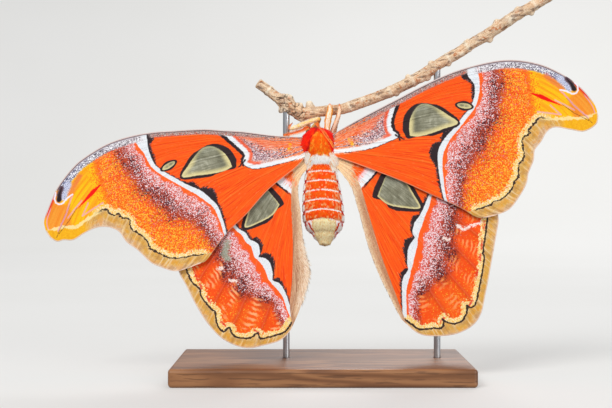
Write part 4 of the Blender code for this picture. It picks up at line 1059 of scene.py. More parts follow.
# Corners of a lock: part of its length, and place across and above it in widths
LOCK_CORNERS = ((0.0, -0.5, -0.3), (0.0, 0.5, -0.3), (0.0, 0.0, 0.1), (0.55, -0.425, 0.0),
                (0.55, 0.425, 0.0), (0.55, 0.0, 0.34), (1.0, 0.0, 0.0))
LOCK_FACES = ((0, 2, 1), (0, 1, 4), (0, 4, 3), (1, 2, 5), (1, 5, 4), (2, 0, 3), (2, 3, 5), (3, 4, 6),
              (4, 5, 6), (5, 3, 6))
LOCK_CHART = ((-1, -1), (1, -1), (0, -0.8), (-0.7, 0), (0.7, 0), (0, 0.2), (0, 1))
LOCK_PATCH = 0.0015              # half the size of a lock's patch in its map
LOCK_RISE = (1.25, 0.45)         # how steeply a lock leaves the skin, and how much it bends back
LOCK_ROUNDING = 0.5              # how far the shading turns towards a lock's two sides
SKIN_SOFTENING = (0.5, 4)        # strength and rounds of smoothing of the body's skin


def body_turn(points):
    """The angle of points round the body, 0 at the right side, and -90 degrees at the back."""
    part = np.clip((THORAX_TOP - points[:, 2]) / BODY_LENGTH, 0, 1)
    stops, middle_x, middle_y = BODY_MIDDLE
    return np.arctan2(points[:, 1] - np.interp(part, stops, middle_y),
                      points[:, 0] - np.interp(part, stops, middle_x))


def body_chart(points):
    """An unwrap of the body round its long axis."""
    height = (points[:, 2] - (THORAX_BOTTOM - ABDOMEN_LENGTH)) / BODY_LENGTH
    return columns(0.5 + body_turn(points) / (2 * math.pi) * 0.96, 0.02 + 0.96 * np.clip(height, 0, 1))


def around(out):
    """How far round a tube the spots lie that face these ways, for its unwrap."""
    return 0.5 + 0.45 * np.sin(np.arctan2(out[:, 0], out[:, 1]))


def blend(below, over, mask):
    """One colour over another by a mask."""
    below = np.asarray(below, float)
    return below + (np.asarray(over, float) - below) * np.asarray(np.clip(mask, 0, 1))[..., None]


def down_abdomen(points):
    """How far down the abdomen points lie, allowing for the tilt of its rings."""
    down = THORAX_BOTTOM - NODE_GAP - points[:, 2]
    tilt = np.interp(down, (0, ABDOMEN_CREASES[0], ABDOMEN_CREASES[-2], ABDOMEN_LENGTH),
                     (0, *RING_TILT, RING_TILT[0] / 2))
    lean = np.sin(body_turn(points))
    return down - tilt * lean * np.abs(lean)


def clouds(points, pitch, seed=0.0):
    """Cloudy noise of about -0.5 to 0.5 at points, with clouds of a size."""
    return np.array([noise.noise(Vector(point) / pitch + Vector((seed,) * 3)) for point in points])


def thorax_colours(points, blotch):
    """Red fur with a paler pointed arch on the back, painted highlights in pale cloudy patches on the arch,
    and a dark line along its upper left.
    """
    x, _, z = points.T
    turn = body_turn(points)
    back = rise(-np.sin(turn), 0.05, 0.35)
    left, right = (np.interp(z, ARCH[0], edge) for edge in ARCH[1:])
    arch = (rise(x, left - EDGE_BLUR, left + EDGE_BLUR) * fall(x, right - EDGE_BLUR, right + EDGE_BLUR)
            * fall(z, 0.1092, 0.1104) * back)
    red = blend((255, 18, 0), (252, 54, 4), 0.30 + 1.2 * blotch)
    orange = blend((255, 108, 6), (255, 80, 2), 0.40 + 1.3 * blotch)
    # painted highlights: paler cloudy patches over the arch's orange
    orange = blend(orange, (255, 160, 50), rise(clouds(points, 0.0011, 7.0), 0.12, 0.32) * 0.7)
    colour = blend(red, orange, arch)
    seam = np.abs(x - left + 0.0003) + 0.0006 * blotch
    colour = blend(colour, (150, 8, 6), fall(seam, 0.0001, 0.0005) * back * 0.6)
    return blend(colour, (240, 92, 44), rise(np.sin(turn), 0.2, 0.5) * (0.5 + blotch))


def abdomen_colours(points, blotch):
    """Orange rings with white edges, white and red tufts along the sides, and a cream tail."""
    turn, down = body_turn(points), down_abdomen(points)
    side = np.abs(np.cos(turn))
    back = rise(-np.sin(turn), -0.1, 0.2)
    colour = blend((255, 94, 8), (252, 64, 2), 0.4 + 1.4 * blotch)
    patches = rise(clouds(points, 0.0010, 3.0) + 0.34 * rise(side, 0.45, 0.80), 0.20, 0.55)
    colour = blend(colour, (255, 206, 172), patches * 0.6)
    crease = np.min(np.abs(down[:, None] - np.array(ABDOMEN_CREASES[:-1])), axis=1)
    colour = blend(colour, FUR_WHITE, fall(crease + 0.0002 * blotch, 0.00022, 0.00042))
    colour = blend(colour, (244, 190, 150), rise(np.sin(turn), 0.45, 0.75) * (0.8 + blotch))
    cream = blend((255, 230, 172), (222, 176, 116), rise(clouds(points, 0.0006, 5.0), 0.12, 0.35) * 0.7)
    reach = np.interp(down, *TAIL_SIDES)
    tail = rise(down + 0.0008 * blotch, TAIL_START - EDGE_BLUR, TAIL_START + EDGE_BLUR)
    colour = blend(colour, cream, tail * np.maximum(fall(side, reach - 0.05, reach + 0.05), 1 - back))
    chain = np.maximum(rise(side, 0.91, 0.96), rise(side, reach, reach + 0.04) * tail * back)
    chain = chain * fall(down, 0.0330, 0.0345)
    beads = np.sin(2 * math.pi * (down / BEAD_PITCH + tail * (side - reach) * 5.5))
    colour = blend(colour, FUR_WHITE, chain * rise(beads, -0.35, 0.0))
    return blend(colour, (190, 16, 10), chain * rise(-beads, 0.35, 0.7))


def body_colours(points):
    """Screen colours of the body's skin and coat at points on it."""
    x, _, z = points.T
    side = np.cos(body_turn(points)) ** 4
    blotch = clouds(points, BLOTCH)
    low = COLLAR[0] - COLLAR_FALL * side * 0.4
    high = COLLAR[1] - COLLAR_FALL * side + 0.0002 * np.sin(x * 1900)
    collar = rise(z, low - EDGE_BLUR, low + EDGE_BLUR) * fall(z, high - 0.0003, high + 0.0003)
    colour = blend(thorax_colours(points, blotch), abdomen_colours(points, blotch),
                   fall(z, COLLAR[0] - 0.0002, COLLAR[0] + 0.0006))
    colour = blend(colour, FUR_WHITE, collar)
    middle = (COLLAR[0] + COLLAR[1]) / 2 + 0.0005 + 0.0006 * blotch
    colour = blend(colour, (236, 190, 150), collar * fall(np.abs(z - middle), 0.0001, 0.0004) * 0.3)
    return np.clip(colour * (1 + 0.08 * blotch[:, None]), 0, 255)


def coat_paint():
    """Hair and scales in the colours stored for each point, with painted shade that darkens them towards
    the roots.
    """
    p = Paint("coat", 0.8, Sheen_Weight=0.12, Sheen_Roughness=0.5, Specular_IOR_Level=0.1)
    shade = p.place().noise(1600.0).shades(((0.3, (176, 176, 176)), (0.7, (246, 246, 246))))
    p.colour = p.stored("coat", "Color").mixed(shade, 0.5, "OVERLAY")
    # painted shade: darker towards a lock's root and full colour at its tip, by the stored share of its
    # length
    root = p.colour.mixed((250, 244, 242), 1.0, "MULTIPLY")
    p.colour = root.mixed(p.colour, p.stored("tip"))
    p.bump(p.place().noise(3500.0, 1.0), 0.3, 0.0001)
    return p.done()


COAT = coat_paint()

# ------------------------------------------------------------------ coat: skin and locks


def joined_nodes(names, grow):
    """One mesh of several nodes' solids, each grown outwards."""
    whole = bmesh.new()
    for name in names:
        part = bmesh.new()
        part.from_mesh(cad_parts[name].data)
        bmesh.ops.remove_doubles(part, verts=part.verts, dist=1e-6)
        bmesh.ops.recalc_face_normals(part, faces=part.faces)
        part.normal_update()
        for vertex in part.verts:
            vertex.co += vertex.normal * grow
        mesh = bpy.data.meshes.new(name + "_grown")
        part.to_mesh(mesh)
        part.free()
        whole.from_mesh(mesh)
        bpy.data.meshes.remove(mesh)
    mesh = bpy.data.meshes.new("joined")
    whole.to_mesh(mesh)
    whole.free()
    return mesh


def surface(mesh):
    """Points, normals and triangles of a mesh, which is then deleted."""
    mesh.calc_loop_triangles()
    points, normals = np.zeros((2, len(mesh.vertices), 3))
    triangles = np.zeros((len(mesh.loop_triangles), 3), np.int32)
    mesh.vertices.foreach_get("co", points.reshape(-1))
    mesh.vertex_normals.foreach_get("vector", normals.reshape(-1))
    mesh.loop_triangles.foreach_get("vertices", triangles.reshape(-1))
    bpy.data.meshes.remove(mesh)
    return points, normals, triangles


def coated(name, skin, colours, tip, slot):
    """A piece of skin in the coat's material."""
    points, _, triangles = skin
    # tip: how much of the coat's painted root shade this skin escapes, 0 full shade, 1 none
    values = np.broadcast_to(rgba(colours), (len(points), 4))
    return mesh_object(name, points, triangles, COAT, slot,
                       attributes={"coat": values, "tip": np.full(len(points), tip)})


def make_flesh():
    """One skin round thorax, head and abdomen, inside their solids by the coat's depth."""
    grow = NODE_GAP * 0.75
    rough = bpy.data.objects.new("flesh_work", joined_nodes(("thorax", "head", "abdomen"), grow))
    bpy.context.scene.collection.objects.link(rough)
    remesh = rough.modifiers.new("remesh", "REMESH")
    remesh.mode = "VOXEL"
    remesh.voxel_size = REMESH_STEP
    soften = rough.modifiers.new("soften", "SMOOTH")
    soften.factor, soften.iterations = SKIN_SOFTENING
    bpy.context.view_layer.update()
    made = rough.evaluated_get(bpy.context.evaluated_depsgraph_get())
    points, normals, triangles = surface(bpy.data.meshes.new_from_object(made))
    bpy.data.objects.remove(rough)
    on_thorax = rise(points[:, 2], THORAX_BOTTOM - 0.0020, THORAX_BOTTOM)
    sunk = COAT_SUNK["abdomen"] + (COAT_SUNK["thorax"] - COAT_SUNK["abdomen"]) * on_thorax
    points = points - normals * (grow + sunk)[:, None]
    skin = points, normals, triangles
    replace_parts(coated("body_skin", skin, body_colours(points), 0.4, "thorax_fur"),
                "thorax", "head", "abdomen")
    return skin


def scattered(skin, count, weight=None):
    """Random spots on a skin, spread evenly or by a weight for each of its points, and normals."""
    points, normals, triangles = skin
    a, b, c = (points[triangles[:, k]] for k in range(3))
    area = np.linalg.norm(np.cross(b - a, c - a), axis=1)
    if weight is not None:
        area = area * weight[triangles].mean(axis=1)
    chosen = triangles[rng.choice(len(triangles), count, p=area / area.sum())]
    share = rng.dirichlet((1.0, 1.0, 1.0), count)
    return (np.einsum("nk,nkd->nd", share, points[chosen]),
            unit(np.einsum("nk,nkd->nd", share, normals[chosen])))


def make_coat(name, slot, place, lie, colours, chart, lengths, widths, lift, scale=1.0):
    """Locks of hair: bent, tapered, three-sided spikes that leave the skin at an angle.

    Place is their roots and the skin's normals there. Lengths, widths and lift are given for each
    lock, or as a range from which each lock draws its own.
    """
    roots, normals = place
    count = len(roots)
    lengths, widths, lift = ((rng.uniform(*size, count) if isinstance(size, tuple) else size)[:, None]
                             for size in (lengths, widths, lift))
    lengths = lengths * np.reshape(scale, (-1, 1))
    lie = unit(lie - normals * np.sum(lie * normals, axis=1, keepdims=True))
    side = np.cross(normals, lie)
    flat, steep = lie * np.cos(lift), normals * np.sin(lift)
    vertices = [roots + lengths * part * (flat + steep * (LOCK_RISE[0] - LOCK_RISE[1] * part))
                + widths * (side * across + normals * up) for part, across, up in LOCK_CORNERS]
    facing = [unit(normals + np.sign(across) * LOCK_ROUNDING * side) for _, across, _ in LOCK_CORNERS]
    corners = len(LOCK_CORNERS)
    triangles = np.array(LOCK_FACES) + corners * np.arange(count)[:, None, None]
    uv = np.clip(chart[:, None] + np.array(LOCK_CHART) * LOCK_PATCH, 0, 1)
    # each corner's tip, its part of the lock's length, sets how much painted root shade it gets
    locks = mesh_object(name, np.stack(vertices, axis=1).reshape(-1, 3), triangles.reshape(-1, 3), COAT,
                        slot, uv.reshape(-1, 2),
                        {"coat": np.repeat(rgba(np.clip(colours, 0, 255)), corners, axis=0),
                         "tip": np.tile([part for part, _, _ in LOCK_CORNERS], count)},
                        np.stack(facing, axis=1).reshape(-1, 3))
    locks.visible_shadow = False


def thorax_coat(skin):
    """Fur of the thorax and collar."""
    place = scattered(skin, THORAX_HAIRS, rise(skin[0][:, 2], 0.0940, 0.0956))
    (x, y, z), out = place[0].T, place[1]
    flank = (rise(np.abs(out[:, 0]), 0.45, 0.85) * rise(z, 0.1000, 0.1020)
             * fall(z, 0.1075, 0.1095) * rise(-y, 0.0, 0.002))
    lie = columns((0.35 + 0.6 * flank) * out[:, 0], 0.2 * out[:, 1] - 0.35 * flank, -1.0)
    lie[:, :2] += rng.normal(0, 0.12, (len(x), 2))
    colours = body_colours(place[0]) * rng.uniform(0.86, 1.10, (len(x), 1))
    collar = rise(z, 0.0935, 0.0960) * fall(z, 0.0990, 0.1005)
    lengths = rng.uniform(0.0013, 0.0020, len(x)) + 0.0003 * collar + 0.0008 * flank
    lift = rng.uniform(0.18, 0.36, len(x)) + 0.12 * collar + 0.25 * flank
    on_head = (y > 0.0012) & (z > 0.1045)
    make_coat("thorax_coat", "thorax_fur", place, lie, colours, body_chart(place[0]), lengths,
              (0.00018, 0.0003), lift, np.where(on_head, 0.55, 1.0))


def abdomen_coat(skin):
    """The short coat of the abdomen."""
    place = scattered(skin, ABDOMEN_HAIRS, fall(skin[0][:, 2], 0.0946, 0.0960))
    roots, out = place
    lie = columns(0.1 * out[:, 0], 0.1 * out[:, 1], -1.0)
    lie[:, :2] += rng.normal(0, 0.10, (len(roots), 2))
    colours = body_colours(roots + 0.0004 * unit(lie)) * rng.uniform(0.90, 1.08, (len(roots), 1))
    make_coat("abdomen_coat", "abdomen_fur", place, lie, colours, body_chart(roots), (0.0006, 0.0011),
              (0.00018, 0.0003), (0.10, 0.24))


def side_tufts(skin):
    """Tufts along both sides of the abdomen, white and red by turns."""
    down = down_abdomen(skin[0])
    side = rise(np.abs(np.cos(body_turn(skin[0]))), 0.90, 0.97)
    place = scattered(skin, SIDE_TUFTS, side * rise(down, 0.0015, 0.0030) * fall(down, 0.0320, 0.0340))
    roots, out = place
    beads = np.sin(2 * math.pi * down_abdomen(roots) / BEAD_PITCH)
    white = rise(beads + rng.normal(0, 0.15, len(roots)), -0.35, 0.0)
    make_coat("side_tufts", "abdomen_fur", place, columns(0.5 * out[:, 0], -0.1, -1.0),
              blend((196, 20, 12), FUR_WHITE, white), body_chart(roots), (0.0008, 0.0013),
              (0.00016, 0.00026), (0.35, 0.6), 0.7 + 0.4 * white)


def base_tufts(skin):
    """Long white and cream locks from the collar's sides, spread over the wings' bases."""
    z, turn = skin[0][:, 2], body_turn(skin[0])
    weight = (rise(np.abs(np.cos(turn)), 0.55, 0.75) * rise(-np.sin(turn), 0.05, 0.25)
              * rise(z, 0.0945, 0.0958) * fall(z, 0.0995, 0.1015))
    place = scattered(skin, BASE_TUFTS, weight)
    way, count = np.sign(place[1][:, 0]), BASE_TUFTS
    lie = columns(way * rng.uniform(0.35, 1.1, count), rng.uniform(-0.25, 0.05, count),
                  rng.uniform(-1.3, -0.5, count))
    colours = blend(FUR_WHITE, (250, 206, 150), rng.uniform(0, 1, count) ** 2.2)
    orange = rng.uniform(0, 1, count) < np.where(way > 0, 0.12, 0.05)
    colours[orange] = (248, 150, 70)
    make_coat("base_tufts", "thorax_fur", place, lie, colours, body_chart(place[0]), (0.0024, 0.0040),
              (0.00022, 0.00036), (0.30, 0.55), np.where(way > 0, 1.35, 1.0))


def face_tuft(skin):
    """A pale tuft on the face."""
    gap = (skin[0] - HEAD_FRONT) * (1.0, 0.8, 0.8)
    place = scattered(skin, FACE_HAIRS, fall(np.linalg.norm(gap, axis=1), 0.0010, 0.0020) + 1e-9)
    lie = columns(rng.normal(0, 0.2, FACE_HAIRS), 0.5, -1.0)
    colours = blend((255, 214, 170), (250, 110, 40), rng.uniform(0, 1, FACE_HAIRS) ** 1.5)
    make_coat("face_tuft", "thorax_fur", place, lie, colours, body_chart(place[0]), (0.0006, 0.0011),
              (0.00012, 0.0002), (0.3, 0.6))


def make_palp(name, sign):
    """A short hairy palp below the face, turned up in front of it."""
    foot = np.array(HEAD_FRONT) + np.array(PALP_FOOT) * (sign, 1, 1)
    path = smooth_path(foot + np.array(PALP_BEND) * (sign, 1, 1), 5)
    skin = tube(path, PALP_RADIUS * np.interp(np.linspace(0, 1, len(path)), *PALP_TAPER), 10)
    coated(f"palp_{name}", skin, (236, 120, 60), 0.5, "thorax_fur")
    place = scattered(skin, PALP_HAIRS)
    nearest = np.argmin(np.linalg.norm(path - place[0][:, None], axis=2), axis=1)
    colours = blend((255, 190, 130), (240, 70, 20), rng.uniform(0, 1, PALP_HAIRS))
    make_coat(f"palp_hair_{name}", "thorax_fur", place, heading_of(path)[nearest], colours,
              columns(around(place[1]), nearest / len(path)), (0.0004, 0.0008), (0.0001, 0.00016),
              (0.25, 0.5))


def on_faces(flat, kind, side):
    """Spots of a wing's plane on its front or back face at random, and the way out there."""
    face = rng.choice((-1.0, 1.0), len(flat))
    depth = sheet_y(side, *flat.T) + WING_LAYER_Y[kind] + face * SKIN_HALF
    return columns(flat[:, 0], depth, flat[:, 1]), columns(0.0, face, 0.0)


def wing_hair(kind, side):
    """Hair-like scales over a wing's base, on both faces, lying out along the wing."""
    edges, count = wing_edges(kind, side), WING_HAIRS[kind]
    u, v = rng.beta(1.0, 2.2, count) * 0.17 + 0.012, rng.uniform(0.04, 0.96, count)
    flat, onward = (wing_grid(edges, u + step, v[:, None])[:, 0] for step in (0.0, 0.02))
    place = on_faces(flat, kind, side)
    x, z = (onward - flat).T
    lie = unit(columns(x, 0.0, z)) + rng.normal(0, 0.1, (count, 3))
    spots = unplaced(flat, kind, side)
    base = gap_from(spots, BASE_BAND[kind, side], CURVE_STEPS)
    colours = blend((250, 104, 40), (255, 186, 150), rng.uniform(0, 1, count) ** 2)
    colours = blend(colours, FUR_WHITE, rise(base, -2.2, -1.4) * fall(base, -0.4, 0.1))
    if kind == "hind":
        colours = blend(colours, (255, 214, 160), fall(spots[:, 0], 1.5, 4.0))
    colours = blend(colours, (250, 92, 14), rise(base, 0.3, 0.9))
    make_coat(f"wing_hair_{kind}_{side}", "wing_scales", place, lie, colours, columns(u * 5.0, v),
              (0.0012, 0.0022), (0.00014, 0.00024), (0.05, 0.16))


def fold_hair(side):
    """Short tan hair on the fold along a hindwing's inner edge, long and pale on the left's lobe."""
    inner = wing_edges("hind", side)[3]
    part = rng.uniform(0.02, 0.95, FOLD_HAIRS)
    flat = along(inner, part)
    heading = unit(along(inner, part + 0.03) - flat)
    away = columns(heading[:, 1], -heading[:, 0])
    away = away * np.sign(away[:, :1]) * (-1 if side == "right" else 1)
    line = gap_from(unplaced(flat, "hind", side), FOLD_LINE[side], CURVE_STEPS)
    across = rng.uniform(0, 1, FOLD_HAIRS) ** 1.4
    flat = flat - away * (FOLD_REACH * np.maximum(-line, 0.2) * across)[:, None]
    place = on_faces(flat, "hind", side)
    lobe = rise(part, 0.42, 0.56) * fall(part, 0.90, 0.97) * (1 - across) * (side == "left")
    flare = rng.uniform(0.0, 0.3, FOLD_HAIRS) * (1 - across) + lobe * rng.uniform(0.2, 0.9, FOLD_HAIRS)
    x, z = (heading + away * flare[:, None]).T
    colours = blend((240, 206, 170), (198, 146, 110), rise(across, 0.1, 0.7))
    colours = blend(colours, (250, 214, 176), fall(part, 0.05, 0.3))
    colours = blend(colours, (255, 236, 208), lobe)
    colours = blend(colours, (168, 116, 84), rng.uniform(0, 1, FOLD_HAIRS) ** 3 * 0.8)
    make_coat(f"fold_hair_{side}", "wing_scales", place, columns(x, 0.0, z), colours,
              columns(part, across), (0.0009, 0.0017), (0.00012, 0.0002), (0.04, 0.12), 1 + 0.6 * lobe)


# ------------------------------------------------------------------ branch

BRANCH_Y = 0.0045
BRANCH_AXIS = [                  # x, z and radius
    (-0.0289, 0.1317, 0.0022), (-0.0250, 0.1290, 0.0023), (-0.0200, 0.1251, 0.0025),
    (-0.0170, 0.1231, 0.0030), (-0.0139, 0.1208, 0.0034), (-0.0109, 0.1186, 0.0032),
    (-0.0080, 0.1176, 0.0031), (-0.0047, 0.1181, 0.0027), (-0.0012, 0.1187, 0.0024),
    (0.0034, 0.1193, 0.0024), (0.0091, 0.1199, 0.0024), (0.0149, 0.1218, 0.0025),
    (0.0264, 0.1259, 0.0025), (0.0376, 0.1309, 0.0026), (0.0445, 0.1347, 0.0027),
    (0.0491, 0.1376, 0.0027), (0.0536, 0.1407, 0.0025), (0.0629, 0.1461, 0.0026),
    (0.0678, 0.1495, 0.0025), (0.0751, 0.1538, 0.0026), (0.0880, 0.1624, 0.0026),
    (0.0944, 0.1659, 0.0025), (0.1084, 0.1742, 0.0023),
]
# (x, angle round the branch, radius, height over the bark); 0 degrees faces front, 90 up
BRANCH_BUDS = [
    (-0.0165, 90, 0.0022, 0.0012), (-0.0162, -95, 0.0012, 0.0018), (-0.0145, -70, 0.0020, 0.0006),
    (-0.0115, 85, 0.0018, 0.0010), (-0.0080, -85, 0.0018, 0.0008), (-0.0047, 88, 0.0019, 0.0030),
    (0.0187, 30, 0.0012, 0.0005), (0.0328, -75, 0.0012, 0.0007), (0.0400, 90, 0.0010, 0.0012),
    (0.0441, -60, 0.0014, 0.0005), (0.0464, -85, 0.0013, 0.0009), (0.0507, 90, 0.0011, 0.0010),
    (0.0560, -90, 0.0010, 0.0009), (0.0622, -30, 0.0012, 0.0004), (0.0666, 90, 0.0010, 0.0006),
    (0.0745, -90, 0.0013, 0.0014), (0.0801, 90, 0.0014, 0.0012), (0.0860, 0, 0.0014, 0.0004),
    (0.0892, 90, 0.0010, 0.0007), (0.0935, -90, 0.0011, 0.0012), (0.0250, 160, 0.0012, 0.0008),
    (0.0700, 175, 0.0012, 0.0008),
]
BUD_SPREAD = 0.95                # a bud's foot, as a share of its radius
BARK_ROUGHNESS = 0.00025
BARK_SIDES = 56
BARK_STEPS = 16                  # rings between two points of the axis
LEAF_SCARS = (-0.0240, 0.0125, 0.0305, 0.0408, 0.0570, 0.0655, 0.0840, 0.0960)    # rings round it
SCAR_WIDTH = 0.0005
SCAR_HEIGHT = 0.00022
KNOT_X = (-0.0195, -0.0085)      # the swollen knot, from left to right
KNOT_BLUR = 0.002
CRACK_DEPTH = 0.0005
CRACK_SHARPNESS = 9
END_TAPER = 0.82                 # the cut ends' radius, as a share of the bark's
# Scales of the bark's relief along the axes, and its height in units of the bark's roughness
GRAIN_RELIEF = ((250, 900, 900), 0.9)
FINE_RELIEF = ((900, 2600, 2600), 0.5)
KNOT_RELIEF = ((450, 450, 450), 2.4)
BARK_SUNK = 0.3                  # lowers all of the bark, in the same units


def bark_noise(points, scales):
    """Cloudy noise at points, with a scale along each axis."""
    return np.array([noise.noise(Vector(point)) for point in points * scales])


def bark_marks(x, angle, radius):
    """The branch's radius with leaf scars and buds, and how much of a mark there is at each point."""
    scar = np.zeros_like(x)
    for spot in LEAF_SCARS:
        near = np.exp(-((x - spot) / SCAR_WIDTH) ** 2)
        radius = radius + SCAR_HEIGHT * near
        scar = np.maximum(scar, near)
    for spot, degrees, size, height in BRANCH_BUDS:
        gap = (angle - math.radians(degrees) + math.pi) % (2 * math.pi) - math.pi
        foot = size * BUD_SPREAD
        near = np.exp(-np.hypot((x - spot) / foot, gap * radius / foot) ** 4)
        radius = radius + height * near
        scar = np.maximum(scar, near)
    return radius, scar


def make_branch():
    """The branch with fibrous bark, leaf scars, buds and a lumpy knot."""
    line = smooth_path([(x, BRANCH_Y, z, radius) for x, z, radius in BRANCH_AXIS], BARK_STEPS)
    path, radii, rows = line[:, :3], line[:, 3], len(line)
    heading = heading_of(path)
    up = columns(-heading[:, 2], 0.0, heading[:, 0])
    turns = 2 * math.pi * np.arange(BARK_SIDES) / BARK_SIDES
    out = (np.cos(turns)[None, :, None] * np.array([0.0, -1.0, 0.0])
           + np.sin(turns)[None, :, None] * up[:, None, :])
    x, angle = np.repeat(path[:, 0], BARK_SIDES), np.tile(turns, rows)
    radius, scar = bark_marks(x, angle, np.repeat(radii, BARK_SIDES))
    base = (path[:, None, :] + out * radii[:, None, None]).reshape(-1, 3)
    rough, fine, lumps = (bark_noise(base, scales)
                          for scales, _ in (GRAIN_RELIEF, FINE_RELIEF, KNOT_RELIEF))
    knot = rise(x, KNOT_X[0] - KNOT_BLUR, KNOT_X[0]) * fall(x, KNOT_X[1], KNOT_X[1] + KNOT_BLUR)
    cracks = np.clip(1 - np.abs(lumps) * CRACK_SHARPNESS, 0, 1) * knot
    radius += BARK_ROUGHNESS * (GRAIN_RELIEF[1] * rough + FINE_RELIEF[1] * fine
                                + KNOT_RELIEF[1] * knot * lumps - BARK_SUNK)
    radius -= CRACK_DEPTH * cracks
    end = np.zeros(rows)
    end[[0, -1]] = 1
    end = np.repeat(end, BARK_SIDES)
    radius *= np.where(end, END_TAPER, 1.0)
    points = (path[:, None, :] + out * radius.reshape(rows, -1, 1)).reshape(-1, 3)
    reach = np.concatenate([[0], np.cumsum(np.linalg.norm(np.diff(path, axis=0), axis=1))])
    bark = columns(np.repeat(reach, BARK_SIDES), np.cos(angle), np.sin(angle))
    branch = mesh_object("branch_bark", points, ring_triangles(rows, BARK_SIDES)[:, ::-1], bark_paint(),
                         "bark", attributes={"bark": bark, "scar": scar, "crack": cracks,
                                             "relief": rough, "end": end})
    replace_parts(branch, "perch_branch")


def bark_paint():
    """Tan bark with fibres and pale scars, with painted shade in the knot's cracks and in the hollows of
    its relief.
    """
    p = Paint("bark", 0.85)
    fibres = p.stored("bark", "Vector").fibres((160.0, 9.0, 9.0), 5.0, 0.65)
    blotches = p.place().noise(220.0, 4.0, 0.6)
    specks = p.place().noise(1500.0, 3.0, 0.7)
    p.colour = fibres.shades(((0.3, (146, 104, 74)), (0.43, (212, 172, 132)), (0.56, (242, 210, 172)),
                              (0.72, (254, 238, 212))))
    p.over((240, 188, 142), blotches.above(0.56, 0.14) * 0.45)
    p.over((176, 142, 118), blotches.below(0.40, 0.12) * 0.5)
    p.over((196, 112, 52), p.place().noise(420.0, 2.0, 0.6).above(0.62, 0.06) * 0.8)
    p.over((255, 242, 214), p.stored("scar") * 0.75)
    # painted shade in the hollows of the bark's relief
    p.over((104, 66, 44), p.stored("relief").below(-0.30, 0.25) * 0.7)
    p.over((255, 244, 228), specks.above(0.57, 0.10) * 0.35)
    p.over((150, 104, 78), specks.below(0.42, 0.10) * 0.35)
    # painted shade in the cracks of the knot
    p.over((60, 36, 24), p.stored("crack"))
    p.over((222, 190, 140), p.stored("end").above(0.6, 0.5))
    p.bump(fibres + blotches, 0.6, 0.0004)
    return p.done()


# ------------------------------------------------------------------ antennae

ANTENNA_RADIUS = (0.00032, 0.00016)              # at the root and at the tip
ANTENNA_SIDES = 10
SHAFT_JOINTS = (0.12, 2.1)       # height and pace of the shaft's swellings
ANTENNA_ROUTE = {
    "left": [(-0.0042, 0.0008, 0.1106), (-0.0061, -0.0006, 0.1113), (-0.0083, -0.0048, 0.1100),
             (-0.0115, -0.0070, 0.1088), (-0.0149, -0.0082, 0.1079), (-0.0171, -0.0086, 0.1074)],
    "right": [(-0.0018, 0.0000, 0.1110), (-0.0021, -0.0030, 0.1123), (-0.0022, -0.0070, 0.1120),
              (-0.0002, -0.0097, 0.1099), (0.0020, -0.0101, 0.1068), (0.0038, -0.0094, 0.1043),
              (0.0050, -0.0084, 0.1023)],
}
RAMUS_PAIRS = 52
RAMUS_LENGTH = 0.0022            # of the longest, in the middle of the feeler
RAMUS_SHORTEST = 0.35            # of that length, towards the feeler's ends
RAMUS_RADIUS = 0.00015
RAMUS_RINGS = 6
RAMUS_SIDES = 4
RAMUS_SPREAD = {"left": 40, "right": 22}         # degrees to each side of the front
RAMUS_SWEEP = 30                                 # degrees towards the tip
RAMUS_REACH = (0.16, 0.985)      # parts of the shaft between which the rami stand


def make_antenna(side, material):
    """A feeler: a jointed shaft with two dense rows of curved rami."""
    path = smooth_path(ANTENNA_ROUTE[side], 16)
    joints = 1 + SHAFT_JOINTS[0] * np.sin(np.arange(len(path)) * SHAFT_JOINTS[1])
    tubes = [tube(path, np.linspace(*ANTENNA_RADIUS, len(path)) * joints, ANTENNA_SIDES)]
    lean, sweep = math.radians(RAMUS_SPREAD[side]), math.radians(RAMUS_SWEEP)
    parts = np.linspace(*RAMUS_REACH, RAMUS_PAIRS)
    spots, headings = along(path, parts), unit(along(path, parts + 0.012) - along(path, parts))
    reach = np.linspace(0, 1, RAMUS_RINGS)[:, None]
    for k, (spot, heading) in enumerate(zip(spots, headings)):
        fullness = math.sin(math.pi * (k + 3) / (RAMUS_PAIRS + 4)) ** 0.7
        length = RAMUS_LENGTH * (RAMUS_SHORTEST + (1 - RAMUS_SHORTEST) * fullness)
        length *= rng.uniform(0.93, 1.05)
        forward = np.array([0.0, -1.0, 0.0])
        forward = unit(forward - heading * (forward @ heading))
        bend = heading * math.sin(sweep) * (0.5 + 0.5 * reach)
        for sign in (-1, 1):
            out = forward * math.cos(lean) + np.cross(heading, forward) * (sign * math.sin(lean))
            ramus = spot + length * reach * (out * math.cos(sweep) + bend)
            tubes.append(tube(ramus, RAMUS_RADIUS * np.linspace(1.0, 0.25, RAMUS_RINGS), RAMUS_SIDES))
    reach = np.tile(np.repeat(reach, RAMUS_SIDES), 2 * RAMUS_PAIRS)
    feeler = mesh_object(f"antenna_feather_{side}", *merged(tubes), material, "antenna",
                         attributes={"reach": np.pad(reach, (len(tubes[0][0]), 0))})
    feeler.visible_shadow = False
    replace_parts(feeler, f"antenna_{side}")


def antenna_paint():
    """Orange rami on a darker shaft."""
    p = Paint("antenna", 0.6, Sheen_Weight=0.2)
    p.colour = p.stored("reach").shades(((0.0, (226, 104, 16)), (0.2, (255, 130, 14)),
                                         (0.7, (255, 156, 34)), (1.0, (255, 186, 80))))
    p.over((190, 70, 16), p.place().noise(900.0).above(0.55, 0.1) * 0.5)
    p.bump(p.place().noise(4000.0), 0.2, 0.0001)
    return p.done()


# ------------------------------------------------------------------ legs

LEG_RADII = (0.0011, 0.0012, 0.0010, 0.0008, 0.0006, 0.0003)
